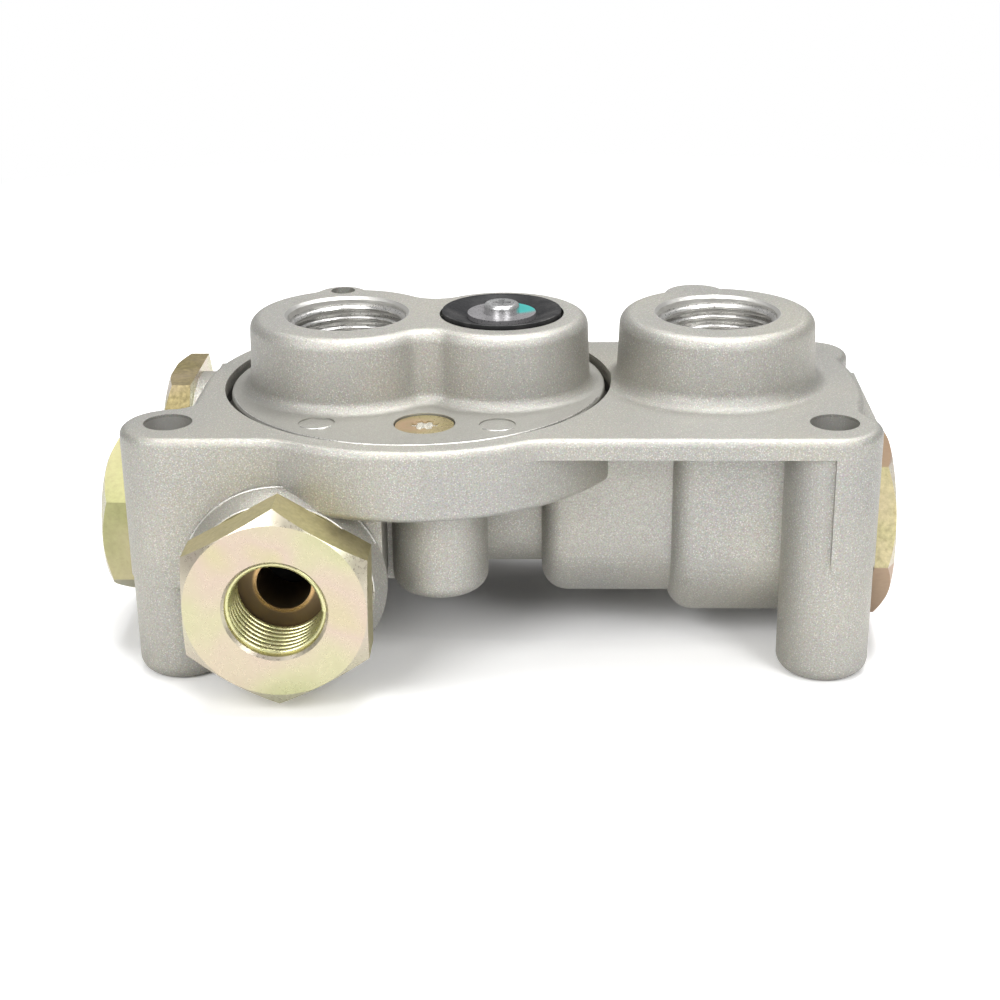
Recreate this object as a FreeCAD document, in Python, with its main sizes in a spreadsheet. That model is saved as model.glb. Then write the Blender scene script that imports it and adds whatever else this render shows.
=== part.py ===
import FreeCAD, Part
import os

# Tractor protection valve. Millimetres. The ground is z 0, the front of the valve looks towards minus y.
# x 0, y 0 is halfway between the two front mounting holes.

os.makedirs("parts", exist_ok=True)
doc = FreeCAD.newDocument("tractor_protection_valve")
sheet = doc.addObject("Spreadsheet::Sheet", "dims")
sheet.Label = "driving dimensions"

TABLE = [
    # outer form of the housing
    ("hole_half_span", "corner_x + corner_inset"), ("mount_hole_r", 4.1), ("leg_r", 7.85),
    ("leg_foot_round", 2.6), ("plate_top_z", 44.8), ("plate_thick", 3.4), ("plate_front_y", -9.0),
    ("plate_back_y", "back_leg_y + back_leg_r"), ("plate_left_x", 0.0), ("corner_r", 8.4),
    ("corner_inset", 0.45), ("corner_y", "plate_front_y + corner_r"), ("corner_tuck", 0.1),
    ("corner_x", "port_x + boss_base_r - corner_tuck"), ("edge_arc_r", 64.4), ("edge_arc_y", 21.3),
    ("edge_proud", 7.9), ("plate_right_x", "corner_x + edge_proud"), ("gusset_bottom_z", 20.3),
    ("gusset_inset", 0.2), ("gusset_left_x", "corner_x - gusset_inset"), ("gusset_round", 3.0),
    ("corner_wall_bottom_z", 18.5), ("block_half_width", 17.0),
    ("block_axis_x", "ring_x - ring_outer_r + block_half_width"), ("block_axis_z", 19.7),
    ("block_back_y", 40.0), ("slab_block_back_y", "ring_y"), ("flow_round", 10.0), ("side_round", 3.0),
    ("ring_x", -15.1), ("ring_proud", 6.3), ("ring_outer_r", "ring_bore_r + ring_wall"),
    ("ring_y", "plate_front_y - ring_proud + ring_outer_r"), ("ring_depth", 12.2),
    ("ring_bottom_z", "plate_top_z - ring_depth"), ("ring_wall", 4.05),
    ("ring_bore_r", "cover_r + cover_gap"), ("cover_let_in", 4.6),
    ("cover_seat_z", "plate_top_z - cover_let_in"), ("cast_edge_round", 1.4), ("column_x", -10.4),
    ("column_r", 8.2), ("column_bottom_z", 15.0), ("column_shift", 0.2),
    ("column_y", "screw_front_y - column_shift"), ("back_column_x", "screw_x"),
    ("back_column_y", "screw_back_y"), ("back_column_r", 7.5), ("back_column_bottom_z", 18.0),
    ("web_front_y", 0.6), ("web_left_x", -21.0), ("tube_r", 8.0), ("main_axis_y", 17.5),
    ("main_axis_z", 21.0), ("mid_left_x", 6.9), ("mid_r", 13.3), ("big_left_x", 29.2), ("big_r", 16.7),
    ("big_end_proud", 8.7), ("big_right_x", "corner_x + big_end_proud"), ("barrel_end_round", 4.5),
    ("back_leg_inset", 1.5), ("back_leg_x", "corner_x + back_leg_inset"), ("back_leg_y", 40.2),
    ("back_leg_r", 6.6), ("left_back_leg_x", -38.0), ("left_back_leg_y", 47.0),
    ("left_back_leg_top_z", 34.0), ("supply_tube_y", 42.0), ("supply_tube_z", 22.0), ("supply_tube_r", 8.0),
    ("supply_tube_end_x", 42.0),
    # ports on top
    ("boss_height", 12.2), ("port_top_z", "plate_top_z + boss_height"), ("boss_wall", 6.55),
    ("boss_top_r", "port_wall_r + boss_wall"), ("boss_draft", 0.6),
    ("boss_base_r", "boss_top_r + boss_draft"), ("boss_top_round", 2.1), ("boss_base_round", 2.6),
    ("port_gap", 2.0), ("port_x", "ring_x + cover_r + port_gap + boss_base_r"), ("port_y", 23.6),
    ("port_wall_r", 10.45), ("port_thread_depth", 13.0), ("port_chamfer", 0.5), ("head_round", 0.7),
    ("post_r", 5.6), ("post_round", 3.4), ("post_shift", 3.0), ("post_x", "port_x - post_shift"),
    ("post_sink", 4.0), ("post_y", "port_y + boss_top_r - post_sink"),
    # front adapter boss and left bosses
    ("front_axis_shift", 0.4), ("front_axis_x", "block_axis_x + front_axis_shift"), ("front_axis_z", 19.7),
    ("front_boss_base_r", 17.3), ("front_boss_tip_r", 15.5), ("front_boss_length", 3.8),
    ("front_boss_tip_y", "plate_front_y - front_boss_length"), ("left_boss_r", 13.0),
    ("left_boss_tip_x", -62.6), ("left_boss_root_x", -50.0), ("supply_axis_y", 51.0),
    ("supply_axis_z", 20.3), ("supply_boss_r", 16.2), ("supply_boss_tip_x", -60.0),
    ("supply_boss_root_x", -20.0),
    # bores
    ("chamber_depth", 4.6), ("chamber_floor_z", "cover_seat_z - chamber_depth"),
    ("chamber_half_width", 13.0), ("lobe_land", 3.25), ("exhaust_land", 2.65),
    ("left_lobe_x", "ring_x - cover_r + boss_top_r + lobe_draft + lobe_land"),
    ("right_lobe_x", "left_lobe_x + lobe_spacing"), ("lobe_shift", 0.2), ("lobe_y", "ring_y + lobe_shift"),
    ("seal_groove_depth", 1.8), ("seal_gap", 2.0), ("seal_width", 2.4), ("screw_pilot_depth", 9.7),
    ("screw_pilot_end_z", "cover_seat_z - screw_pilot_depth"), ("screw_thread_r", 2.5),
    ("thread_gap", 0.05), ("screw_shift", 2.5), ("screw_x", "ring_x + screw_shift"), ("screw_edge", 11.3),
    ("screw_front_y", "ring_y - cover_r + screw_edge"), ("screw_back_y", "ring_y + cover_r - screw_edge"),
    ("front_stem_r", 11.0), ("front_stem_end_y", 1.0), ("shuttle_bore_r", 7.5), ("shuttle_seat_y", 9.5),
    ("shuttle_seat_r", 4.6), ("left_stem_r", 9.0), ("left_stem_end_x", -50.5), ("left_chamber_r", 5.5),
    ("left_chamber_end_x", -29.5), ("supply_stem_r", 13.2), ("supply_stem_end_x", -48.0),
    ("supply_passage_r", 5.5), ("supply_passage_end_x", 36.5), ("supply_cross_x", 35.5),
    ("supply_cross_z", 23.5), ("supply_cross_r", 3.9), ("big_bore_r", 11.0), ("big_bore_left_x", 31.0),
    ("cap_stem_r", 11.9), ("cap_stem_left_x", 53.0), ("mid_bore_r", 9.0), ("seat_x", 9.0),
    ("seat_passage_r", 4.0), ("seat_passage_left_x", -14.0), ("link_y", 5.2), ("link_r", 2.4),
    ("link_x", -10.4), ("link_across_less", 0.3), ("link_lift", 0.5), ("link_end", 2.9), ("drop_r", 4.4),
    ("drop_x", 35.9), ("drop_y", 19.5), ("rise_r", 2.1), ("rise_low_x", 12.4), ("rise_low_z", 27.0),
    ("rise_high_x", 5.0), ("rise_aside", 3.0), ("pocket_r", 9.0), ("pocket_depth", 1.7),
    ("pocket_floor_z", "chamber_floor_z - pocket_depth"),
    # cover
    ("cover_gap", 1.15), ("lobe_overlap", 4.8),
    ("lobe_spacing", "boss_top_r + exhaust_lobe_r - lobe_overlap"),
    ("cover_r",
     "(lobe_spacing + boss_top_r + exhaust_lobe_r + 2 * lobe_draft + lobe_land + exhaust_land) / 2"),
    ("cover_thick", 4.0), ("cover_top_z", "cover_seat_z + cover_thick"), ("exhaust_lobe_wall", 4.2),
    ("exhaust_lobe_r", "flap_pocket_r + exhaust_lobe_wall"), ("lobe_draft", 0.45), ("lobe_base_round", 2.0),
    ("cover_rim_round", 0.4), ("valley_round", 5.0), ("pin_mark_r", 3.1), ("pin_mark_depth", 0.25),
    ("pin_mark_out", 26.8), ("pin_mark_left_turn", 234.3), ("pin_mark_right_turn", 303.4),
    ("flap_seat_drop", 2.8), ("flap_seat_z", "port_top_z - flap_seat_drop"), ("flap_room", 0.45),
    ("flap_pocket_r", "flap_r + flap_room"), ("exhaust_throat_r", 8.8), ("throat_floor_rise", 5.8),
    ("exhaust_throat_floor_z", "cover_seat_z + throat_floor_rise"), ("exhaust_seat_bore_r", 5.0),
    ("exhaust_seat_outer_r", 6.7), ("exhaust_seat_drop", 2.4),
    ("exhaust_seat_z", "cover_seat_z - exhaust_seat_drop"), ("bar_half_width", 2.6), ("bar_thick", 6.7),
    ("bar_bottom_z", "flap_seat_z - bar_thick"), ("lower_port_r", 8.4), ("screw_counterbore_r", 5.2),
    ("screw_head_r", 4.95), ("screw_head_sink", 0.3), ("screw_head_top_z", "cover_top_z - screw_head_sink"),
    ("screw_head_rim", 0.5), ("screw_hole_r", 2.75), ("screw_reach", 8.6),
    ("screw_tip_z", "cover_seat_z - screw_reach"), ("screw_recess_r", 2.2), ("screw_recess_depth", 1.5),
    ("screw_recess_arm", 1.24), ("cover_post_shift", 2.3),
    ("cover_post_x", "left_lobe_x - cover_post_shift"), ("cover_post_sink", 3.3),
    ("cover_post_y", "lobe_y + boss_top_r - cover_post_sink"), ("post_hole_r", 2.2),
    ("post_hole_depth", 9.0), ("post_hole_shift", 1.2),
    # flap set
    ("flap_r", 10.45), ("flap_thick", 2.2), ("flap_height", 3.4),
    ("flap_rim_z", "flap_seat_z + flap_height"), ("flap_hole_r", 1.8), ("washer_r", 6.0),
    ("flap_rim_wall", 0.9), ("washer_room", 0.4), ("washer_thick", 0.8), ("flap_screw_head_r", 3.1),
    ("flap_screw_head_height", 1.7), ("flap_screw_r", 1.7), ("flap_screw_reach", 5.2),
    ("flap_screw_tip_z", "flap_seat_z - flap_screw_reach"), ("flap_recess_length", 3.2),
    ("flap_recess_width", 0.9), ("flap_recess_depth", 1.0),
    # adapters and cap
    ("front_hex_across", 30.2), ("front_hex_turn", 31.0), ("front_hex_length", 8.2),
    ("front_face_y", "front_boss_tip_y - front_hex_length"), ("front_port_r", 8.3),
    ("left_hex_across", 25.4), ("left_hex_turn", 0.0), ("left_hex_length", 7.4),
    ("left_face_x", "left_boss_tip_x - left_hex_length"), ("left_port_r", 6.6), ("supply_hex_across", 34.9),
    ("supply_hex_turn", 30.0), ("supply_hex_length", 5.0),
    ("supply_face_x", "supply_boss_tip_x - supply_hex_length"), ("supply_port_r", 10.45),
    ("cap_hex_across", 30.0), ("cap_hex_turn", 39.0), ("cap_hex_length", 3.8),
    ("cap_face_x", "big_right_x + cap_hex_length"), ("adapter_port_depth", 11.0), ("hex_chamfer", 1.6),
    ("hex_chamfer_angle_run", 2.6), ("ring_cord", 2.2), ("ring_side_gap", 0.05),
    # plunger set
    ("fit_gap", 0.06), ("plunger_head_left_x", 41.0), ("plunger_head_right_x", 46.6),
    ("plunger_neck_r", 5.6), ("plunger_land_left_x", 17.5), ("plunger_land_right_x", 25.5),
    ("plunger_nose_left_x", 10.9), ("plunger_nose_r", 7.0), ("plunger_groove_depth", 1.7),
    ("plunger_groove_width", 2.3), ("face_seal_r", 5.9), ("face_seal_pocket", 1.2), ("face_gap", 0.3),
    ("spring_r", 7.0), ("spring_wire_r", 0.9), ("spring_turns", 4.0), ("cap_pocket_r", 8.5),
    ("cap_pocket_floor_x", 62.4), ("spring_pocket_depth", 1.2), ("shuttle_length", 4.2),
    ("shuttle_gap", 0.06), ("diaphragm_r", 11.4),
]
for row, (alias, value) in enumerate(TABLE, start=1):
    sheet.set("A%d" % row, alias.replace("_", " "))
    sheet.setAlias("B%d" % row, alias)
for row, (alias, value) in enumerate(TABLE, start=1):
    # a size that follows from others is a formula
    sheet.set("B%d" % row, "=" + value if isinstance(value, str) else str(value))
doc.recompute()


def val(alias):
    return float(getattr(sheet, alias))


def words(expression):
    # puts the sheet's name before every alias in an expression
    out = expression
    for alias, _ in sorted(TABLE, key=lambda item: -len(item[0])):
        out = out.replace("<" + alias + ">", "dims." + alias)
    return out


def bind(obj, prop, expression):
    obj.setExpression(prop, words(expression))


def place(obj, x="0", y="0", z="0"):
    bind(obj, "Placement.Base.x", x)
    bind(obj, "Placement.Base.y", y)
    bind(obj, "Placement.Base.z", z)


AXES = {
    "z": FreeCAD.Rotation(),
    "x": FreeCAD.Rotation(FreeCAD.Vector(0, 1, 0), 90),
    "y": FreeCAD.Rotation(FreeCAD.Vector(1, 0, 0), -90),
}


def cylinder(name, r, length, x, y, z, axis="z"):
    # grows from the given point towards plus along the axis
    obj = doc.addObject("Part::Cylinder", name)
    obj.Placement = FreeCAD.Placement(FreeCAD.Vector(), AXES[axis])
    bind(obj, "Radius", r)
    bind(obj, "Height", length)
    place(obj, x, y, z)
    return obj


def cone(name, r1, r2, length, x, y, z, axis="z"):
    obj = doc.addObject("Part::Cone", name)
    obj.Placement = FreeCAD.Placement(FreeCAD.Vector(), AXES[axis])
    bind(obj, "Radius1", r1)
    bind(obj, "Radius2", r2)
    bind(obj, "Height", length)
    place(obj, x, y, z)
    return obj


def box(name, x0, x1, y0, y1, z0, z1):
    obj = doc.addObject("Part::Box", name)
    bind(obj, "Length", "(%s) - (%s)" % (x1, x0))
    bind(obj, "Width", "(%s) - (%s)" % (y1, y0))
    bind(obj, "Height", "(%s) - (%s)" % (z1, z0))
    place(obj, x0, y0, z0)
    return obj


def torus(name, ring, cord, x, y, z, axis="z"):
    obj = doc.addObject("Part::Torus", name)
    obj.Placement = FreeCAD.Placement(FreeCAD.Vector(), AXES[axis])
    bind(obj, "Radius1", ring)
    bind(obj, "Radius2", cord)
    place(obj, x, y, z)
    return obj


def hexagon(name, across, length, x, y, z, axis, turn):
    obj = doc.addObject("Part::Prism", name)
    spin = FreeCAD.Rotation(FreeCAD.Vector(0, 0, 1), val(turn))
    obj.Placement = FreeCAD.Placement(FreeCAD.Vector(), AXES[axis].multiply(spin))
    obj.Polygon = 6
    bind(obj, "Circumradius", "(%s) / 1.7320508" % across)
    bind(obj, "Height", length)
    place(obj, x, y, z)
    return obj


def fuse(name, pieces, refine=True):
    obj = doc.addObject("Part::MultiFuse", name)
    obj.Shapes = pieces
    obj.Refine = refine
    return obj


def cut(name, base, tools):
    tool = tools[0] if len(tools) == 1 else fuse(name + "_tools", tools, False)
    obj = doc.addObject("Part::Cut", name)
    obj.Base = base
    obj.Tool = tool
    obj.Refine = True
    return obj


def common(name, base, tool):
    obj = doc.addObject("Part::Common", name)
    obj.Base = base
    obj.Tool = tool
    return obj


def rounded(name, base, alias, test):
    # rounds the edges whose middle passes the test
    doc.recompute()
    picks = []
    for number, edge in enumerate(base.Shape.Edges, start=1):
        middle = edge.valueAt((edge.FirstParameter + edge.LastParameter) / 2)
        if test(edge, middle):
            picks.append((number, val(alias), val(alias)))
    if not picks:
        raise ValueError("no edge to round on " + name)
    obj = doc.addObject("Part::Fillet", name)
    obj.Base = base
    obj.Edges = picks
    doc.recompute()
    if obj.Shape.isNull() or not obj.Shape.isValid():
        raise ValueError("rounding failed on " + name)
    return obj


def near(a, b, slack=0.02):
    return abs(a - b) < slack


def flat_at(edge, z):
    return all(near(v.Z, z) for v in edge.Vertexes) and near(edge.BoundBox.ZMin,
                                                             z) and near(edge.BoundBox.ZMax, z)


def upright(edge):
    return edge.BoundBox.ZLength > 1.0 and edge.BoundBox.XLength < 0.01 and edge.BoundBox.YLength < 0.01


# The outer form of the housing.
top = "<plate_top_z>"
plate_low = "<plate_top_z> - <plate_thick>"

leg_list = []
for side, sign in (("left", "-"), ("right", "")):
    leg = cylinder("leg_" + side, "<leg_r>", "<plate_top_z> - 2", sign + "<hole_half_span>", "0", "0")
    leg_list.append(rounded("leg_%s_foot" % side, leg, "leg_foot_round", lambda e, m: flat_at(e, 0.0)))
back_leg = cylinder("back_leg", "<back_leg_r>", "<plate_top_z> - 2", "<back_leg_x>", "<back_leg_y>", "0")
leg_list.append(rounded("back_leg_foot", back_leg, "leg_foot_round", lambda e, m: flat_at(e, 0.0)))
left_back_leg = cylinder("left_back_leg", "<back_leg_r>", "<left_back_leg_top_z>", "<left_back_leg_x>",
                         "<left_back_leg_y>", "0")
leg_list.append(rounded("left_back_leg_foot", left_back_leg, "leg_foot_round", lambda e, m: flat_at(e, 0.0)))

plate = box("plate", "<plate_left_x>", "<corner_x>", "<plate_front_y>", "<plate_back_y>", plate_low, top)
# the right edge bulges a little between the corner and the back lug
edge_disc = cylinder("edge_disc", "<edge_arc_r>", "<plate_thick>", "<plate_right_x> - <edge_arc_r>",
                     "<edge_arc_y>",
                     plate_low)
edge_strip = box("edge_strip", "<corner_x> - 1", "<plate_right_x> + 1", "<corner_y> + 3", "<back_leg_y>",
                 plate_low,
                 top)
plate_edge = common("plate_edge", edge_disc, edge_strip)
plate_join = box("plate_join", "<corner_x> - 1", "<back_leg_x>", "<corner_y> + 3", "<plate_back_y>",
                 plate_low, top)
plate_body = fuse("plate_body", [plate, plate_edge, plate_join])
corner_right = cylinder("corner_right", "<corner_r>", "<plate_thick>", "<corner_x>", "<corner_y>", plate_low)
slab_ring = cylinder("slab_ring", "<ring_outer_r>", "<plate_thick>", "<ring_x>", "<ring_y>", plate_low)
slab_lug = cylinder("slab_lug", "<back_leg_r>", "<plate_thick>", "<back_leg_x>", "<back_leg_y>", plate_low)
slab_corner_left = cylinder("slab_corner_left", "<corner_r>", "<plate_thick>", "-<corner_x>", "<corner_y>",
                            plate_low)
slab_left = box("slab_left", "-<corner_x>", "<ring_x>", "<plate_front_y>", "<corner_y> + <corner_r>",
                plate_low, top)
slab_block = box("slab_block", "<block_axis_x> - <block_half_width>", "<ring_x>", "<corner_y>",
                 "<slab_block_back_y>", plate_low, top)
slab = fuse("slab", [plate_body, corner_right, slab_ring, slab_lug, slab_corner_left, slab_left, slab_block])


def concave(edge, middle):
    # an upright edge is concave when most of a small circle round it lies inside the slab
    if not upright(edge):
        return False
    inside = 0
    for k in range(24):
        turn = FreeCAD.Rotation(FreeCAD.Vector(0, 0, 1), 15 * k)
        probe = middle + turn.multVec(FreeCAD.Vector(0.4, 0, 0))
        inside += slab.Shape.isInside(probe, 1e-4, True)
    return inside > 13


doc.recompute()
slab_front = rounded("slab_front", slab, "flow_round", lambda e, m: concave(e,
                                                                            m) and m.y < val("plate_front_y") + 0.5)
slab_sides = rounded("slab_sides", slab_front, "side_round",
                     lambda e, m: concave(e, m) and m.y > val("plate_front_y") + 0.5)
slab_soft = rounded("slab_soft", slab_sides, "cast_edge_round", lambda e, m: flat_at(e, val("plate_top_z")))
gusset_form = cylinder("gusset_form", "<corner_r>", plate_low + " + 1 - <gusset_bottom_z>", "<corner_x>",
                        "<corner_y>", "<gusset_bottom_z>")
gusset_box = box("gusset_box", "<gusset_left_x>", "<corner_x> + 20", "-20", "<corner_y> + 6",
                 "<gusset_bottom_z>", plate_low + " + 1")
gusset_soft = rounded("gusset_soft", gusset_box, "gusset_round",
                      lambda e, m: near(m.x, val("gusset_left_x")) and near(m.z, val("gusset_bottom_z")))
gusset = common("gusset", gusset_form, gusset_soft)
corner_left = cylinder("corner_left", "<corner_r>", plate_low + " + 1 - <corner_wall_bottom_z>",
                       "-<corner_x>",
                       "<corner_y>", "<corner_wall_bottom_z>")
left_wall = box("left_wall", "-<corner_x>", "<block_axis_x>", "<plate_front_y>", "<corner_y> + <corner_r>",
                "<corner_wall_bottom_z>", plate_low + " + 1")
block_box = box("block_box", "<block_axis_x> - <block_half_width>", "<block_axis_x> + <block_half_width>",
                "<plate_front_y>", "<block_back_y>", "<block_axis_z>", plate_low + " + 1")
block_round = cylinder("block_round", "<block_half_width>", "<block_back_y> - (<plate_front_y>)",
                       "<block_axis_x>", "<plate_front_y>", "<block_axis_z>", "y")

ring = cylinder("ring", "<ring_outer_r>", plate_low + " + 1 - <ring_bottom_z>", "<ring_x>", "<ring_y>",
                "<ring_bottom_z>")
ring_soft = rounded("ring_soft", ring, "cast_edge_round", lambda e, m: flat_at(e, val("ring_bottom_z")))
column = cylinder("column", "<column_r>", "<ring_bottom_z> + 1 - <column_bottom_z>", "<column_x>",
                  "<column_y>",
                  "<column_bottom_z>")
column_soft = rounded("column_soft", column, "leg_foot_round", lambda e, m: flat_at(e,
                                                                                    val("column_bottom_z")))
back_column = cylinder("back_column", "<back_column_r>", "<ring_bottom_z> + 1 - <back_column_bottom_z>",
                       "<back_column_x>", "<back_column_y>", "<back_column_bottom_z>")
web = box("web", "<web_left_x>", "<column_x>", "<web_front_y>", "<main_axis_y>", "<column_bottom_z> + 1",
          "<ring_bottom_z> + 1")


def barrel(name, r, x0, x1, y, z, z_top):
    # a horizontal cylinder along x whose sides go straight up to the plate
    low = cylinder(name + "_low", r, "(%s) - (%s)" % (x1, x0), x0, y, z, "x")
    up = box(name + "_up", x0, x1, "(%s) - (%s)" % (y, r), "(%s) + (%s)" % (y, r), z, z_top)
    return fuse(name, [low, up])


tube = barrel("tube", "<tube_r>", "<web_left_x>", "<mid_left_x> + 6", "<main_axis_y>", "<main_axis_z>",
              "<ring_bottom_z> + 1")
mid = barrel("mid", "<mid_r>", "<mid_left_x>", "<big_left_x> + 8", "<main_axis_y>", "<main_axis_z>",
             plate_low + " + 1")
big = barrel("big", "<big_r>", "<big_left_x>", "<big_right_x>", "<main_axis_y>", "<main_axis_z>",
             plate_low + " + 1")
supply_tube = barrel("supply_tube", "<supply_tube_r>", "<supply_boss_root_x> - 4", "<supply_tube_end_x>",
                     "<supply_tube_y>", "<supply_tube_z>", "<ring_bottom_z> + 1")


def end_loop(x, z_top):
    def test(edge, middle):
        box_ = edge.BoundBox
        return near(box_.XMin, x) and near(box_.XMax, x) and not near(middle.z, z_top, 0.05)
    return test


mid_soft = rounded("mid_soft", mid, "barrel_end_round", end_loop(val("mid_left_x"), val("plate_top_z") -
                                                                 val("plate_thick") + 1))
big_soft = rounded("big_soft", big, "barrel_end_round", end_loop(val("big_left_x"), val("plate_top_z") -
                                                                 val("plate_thick") + 1))

port_boss = cone("port_boss", "<boss_base_r>", "<boss_top_r>", "<port_top_z> - <plate_top_z> + 0.4",
                 "<port_x>",
                 "<port_y>", "<plate_top_z> - 0.4")
port_post = cylinder("port_post", "<post_r>", "<port_top_z> - <plate_top_z> + 0.4", "<post_x>", "<post_y>",
                     "<plate_top_z> - 0.4")


def away(middle, x_name, y_name):
    return ((middle.x - val(x_name)) ** 2 + (middle.y - val(y_name)) ** 2) ** 0.5


def post_valley(post_x, post_y):
    # the two upright lines where the small post meets the port boss
    def test(edge, middle):
        tall = edge.BoundBox.ZLength > 0.6 * val("boss_height")
        return tall and near(away(middle, post_x, post_y), val("post_r")) and (
            middle.y - val(post_y) < 0.6 * val("post_r")) and abs(middle.x - val(post_x)) > 0.5 * val("post_r")
    return test


port_soft = rounded("port_soft", port_boss, "boss_top_round", lambda e, m: flat_at(e, val("port_top_z")))
post_soft = rounded("post_soft", port_post, "head_round", lambda e, m: flat_at(e, val("port_top_z")))

front_boss = cone("front_boss", "<front_boss_tip_r>", "<front_boss_base_r>",
                  "<plate_front_y> - <front_boss_tip_y>",
                  "<front_axis_x>", "<front_boss_tip_y>", "<front_axis_z>", "y")
left_boss = cylinder("left_boss", "<left_boss_r>", "<left_boss_root_x> - <left_boss_tip_x>",
                     "<left_boss_tip_x>",
                     "<main_axis_y>", "<main_axis_z>", "x")
supply_boss = cylinder("supply_boss", "<supply_boss_r>", "<supply_boss_root_x> - <supply_boss_tip_x>",
                       "<supply_boss_tip_x>", "<supply_axis_y>", "<supply_axis_z>", "x")

outer = fuse("housing_outer", leg_list + [
    slab_soft, gusset, corner_left, left_wall, block_box, ring_soft, block_round, column_soft, back_column, web,
    tube, mid_soft, big_soft, supply_tube, front_boss, left_boss, supply_boss, port_soft])


def boss_foot(edge, middle):
    dx = middle.x - val("port_x")
    dy = middle.y - val("port_y")
    return flat_at(edge, val("plate_top_z")) and (dx * dx + dy * dy) ** 0.5 < val("boss_base_r") + 5.5


outer_round = rounded("housing_outer_round", outer, "boss_base_round", boss_foot)
outer_soft = fuse("housing_outer_soft", [outer_round, post_soft])

# The bores and passages of the housing.
bores = []


def bore(obj):
    bores.append(obj)
    return obj


for side, sign in (("left", "-"), ("right", "")):
    bore(cylinder("mount_hole_" + side, "<mount_hole_r>", top + " + 2", sign + "<hole_half_span>", "0", "-1"))
bore(cylinder("cover_recess", "<ring_bore_r>", "10", "<ring_x>", "<ring_y>", "<cover_seat_z>"))


def stadium(name, half, z0, height):
    a = cylinder(name + "_a", half, height, "<left_lobe_x>", "<lobe_y>", z0)
    b = cylinder(name + "_b", half, height, "<right_lobe_x>", "<lobe_y>", z0)
    c = box(name + "_c", "<left_lobe_x>", "<right_lobe_x>", "<lobe_y> - (%s)" % half,
            "<lobe_y> + (%s)" % half,
            z0, "(%s) + (%s)" % (z0, height))
    return fuse(name, [a, b, c])


bore(stadium("chamber", "<chamber_half_width>", "<chamber_floor_z>", "8"))
groove = cut("seal_groove", stadium("groove_out", "<chamber_half_width> + <seal_gap> + <seal_width> + 0.1",
                                    "<cover_seat_z> - <seal_groove_depth>", "<seal_groove_depth> + 1"),
             [stadium("groove_in", "<chamber_half_width> + <seal_gap> - 0.1",
                      "<cover_seat_z> - <seal_groove_depth> - 1", "<seal_groove_depth> + 3")])
bore(groove)
for side in ("front", "back"):
    bore(cylinder("screw_pilot_" + side, "<screw_thread_r> + <thread_gap>", "20", "<screw_x>",
                  "<screw_%s_y>" % side, "<screw_pilot_end_z>"))
bore(cylinder("front_stem_bore", "<front_stem_r>", "<front_stem_end_y> + 40", "<front_axis_x>", "-40",
              "<front_axis_z>", "y"))
bore(cylinder("shuttle_bore", "<shuttle_bore_r>", "<shuttle_seat_y> + 40", "<front_axis_x>", "-40",
              "<front_axis_z>", "y"))
bore(cylinder("shuttle_seat_hole", "<shuttle_seat_r>", "<main_axis_y>", "<front_axis_x>", "0",
              "<front_axis_z>", "y"))
bore(cylinder("left_stem_bore", "<left_stem_r>", "100 + <left_stem_end_x>", "-100", "<main_axis_y>",
              "<main_axis_z>", "x"))
bore(cylinder("left_chamber", "<left_chamber_r>", "100 + <left_chamber_end_x>", "-100", "<main_axis_y>",
              "<main_axis_z>", "x"))
bore(cylinder("supply_stem_bore", "<supply_stem_r>", "100 + <supply_stem_end_x>", "-100", "<supply_axis_y>",
              "<supply_axis_z>", "x"))
bore(cylinder("supply_passage", "<supply_passage_r>", "<supply_passage_end_x> - <supply_stem_end_x> + 1",
              "<supply_stem_end_x> - 1", "<supply_tube_y>", "<supply_tube_z>", "x"))
bore(cylinder("supply_cross", "<supply_cross_r>", "<supply_tube_y> - <main_axis_y>", "<supply_cross_x>",
              "<main_axis_y>", "<supply_cross_z>", "y"))
bore(cylinder("big_bore", "<big_bore_r>", "100 - <big_bore_left_x>", "<big_bore_left_x>", "<main_axis_y>",
              "<main_axis_z>", "x"))
bore(cylinder("cap_stem_bore", "<cap_stem_r>", "100 - <cap_stem_left_x>", "<cap_stem_left_x>",
              "<main_axis_y>",
              "<main_axis_z>", "x"))
bore(cylinder("mid_bore", "<mid_bore_r>", "40 - <seat_x>", "<seat_x>", "<main_axis_y>", "<main_axis_z>", "x"))
bore(cylinder("seat_passage", "<seat_passage_r>", "12 - <seat_passage_left_x>", "<seat_passage_left_x>",
              "<main_axis_y>", "<main_axis_z>", "x"))
bore(cylinder("link_along", "<link_r>", "<link_x> - <front_axis_x>", "<front_axis_x>", "<link_y>",
              "<front_axis_z>", "x"))
bore(cylinder("link_across", "<link_r> - <link_across_less>", "<main_axis_y> - <link_y> + 1.1",
              "<link_x> - <link_end>", "<link_y> - 1.1", "<front_axis_z> + <link_lift>", "y"))
bore(cylinder("port_thread", "<port_wall_r>", "<port_thread_depth> + 1", "<port_x>", "<port_y>",
              "<port_top_z> - <port_thread_depth>"))
bore(cone("port_lead", "<port_wall_r>", "<port_wall_r> + <port_chamfer>", "<port_chamfer>", "<port_x>",
          "<port_y>", "<port_top_z> - <port_chamfer> + 0.01"))
bore(cylinder("port_drop", "<drop_r>", "<port_top_z> - <port_thread_depth> - <main_axis_z> + 1", "<drop_x>",
              "<drop_y>", "<main_axis_z>"))
rise = doc.addObject("Part::Cylinder", "rise")
rise_dir = FreeCAD.Vector(val("rise_high_x") - val("rise_low_x"), val("rise_aside"),
                          val("chamber_floor_z") - val("rise_low_z"))
rise.Placement = FreeCAD.Placement(FreeCAD.Vector(), FreeCAD.Rotation(FreeCAD.Vector(0, 0, 1), rise_dir))
bind(rise, "Radius", "<rise_r>")
bind(rise, "Height", "<chamber_floor_z> - <rise_low_z> + 2")
place(rise, "<rise_low_x>", "<main_axis_y>", "<rise_low_z>")
bore(rise)
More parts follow.
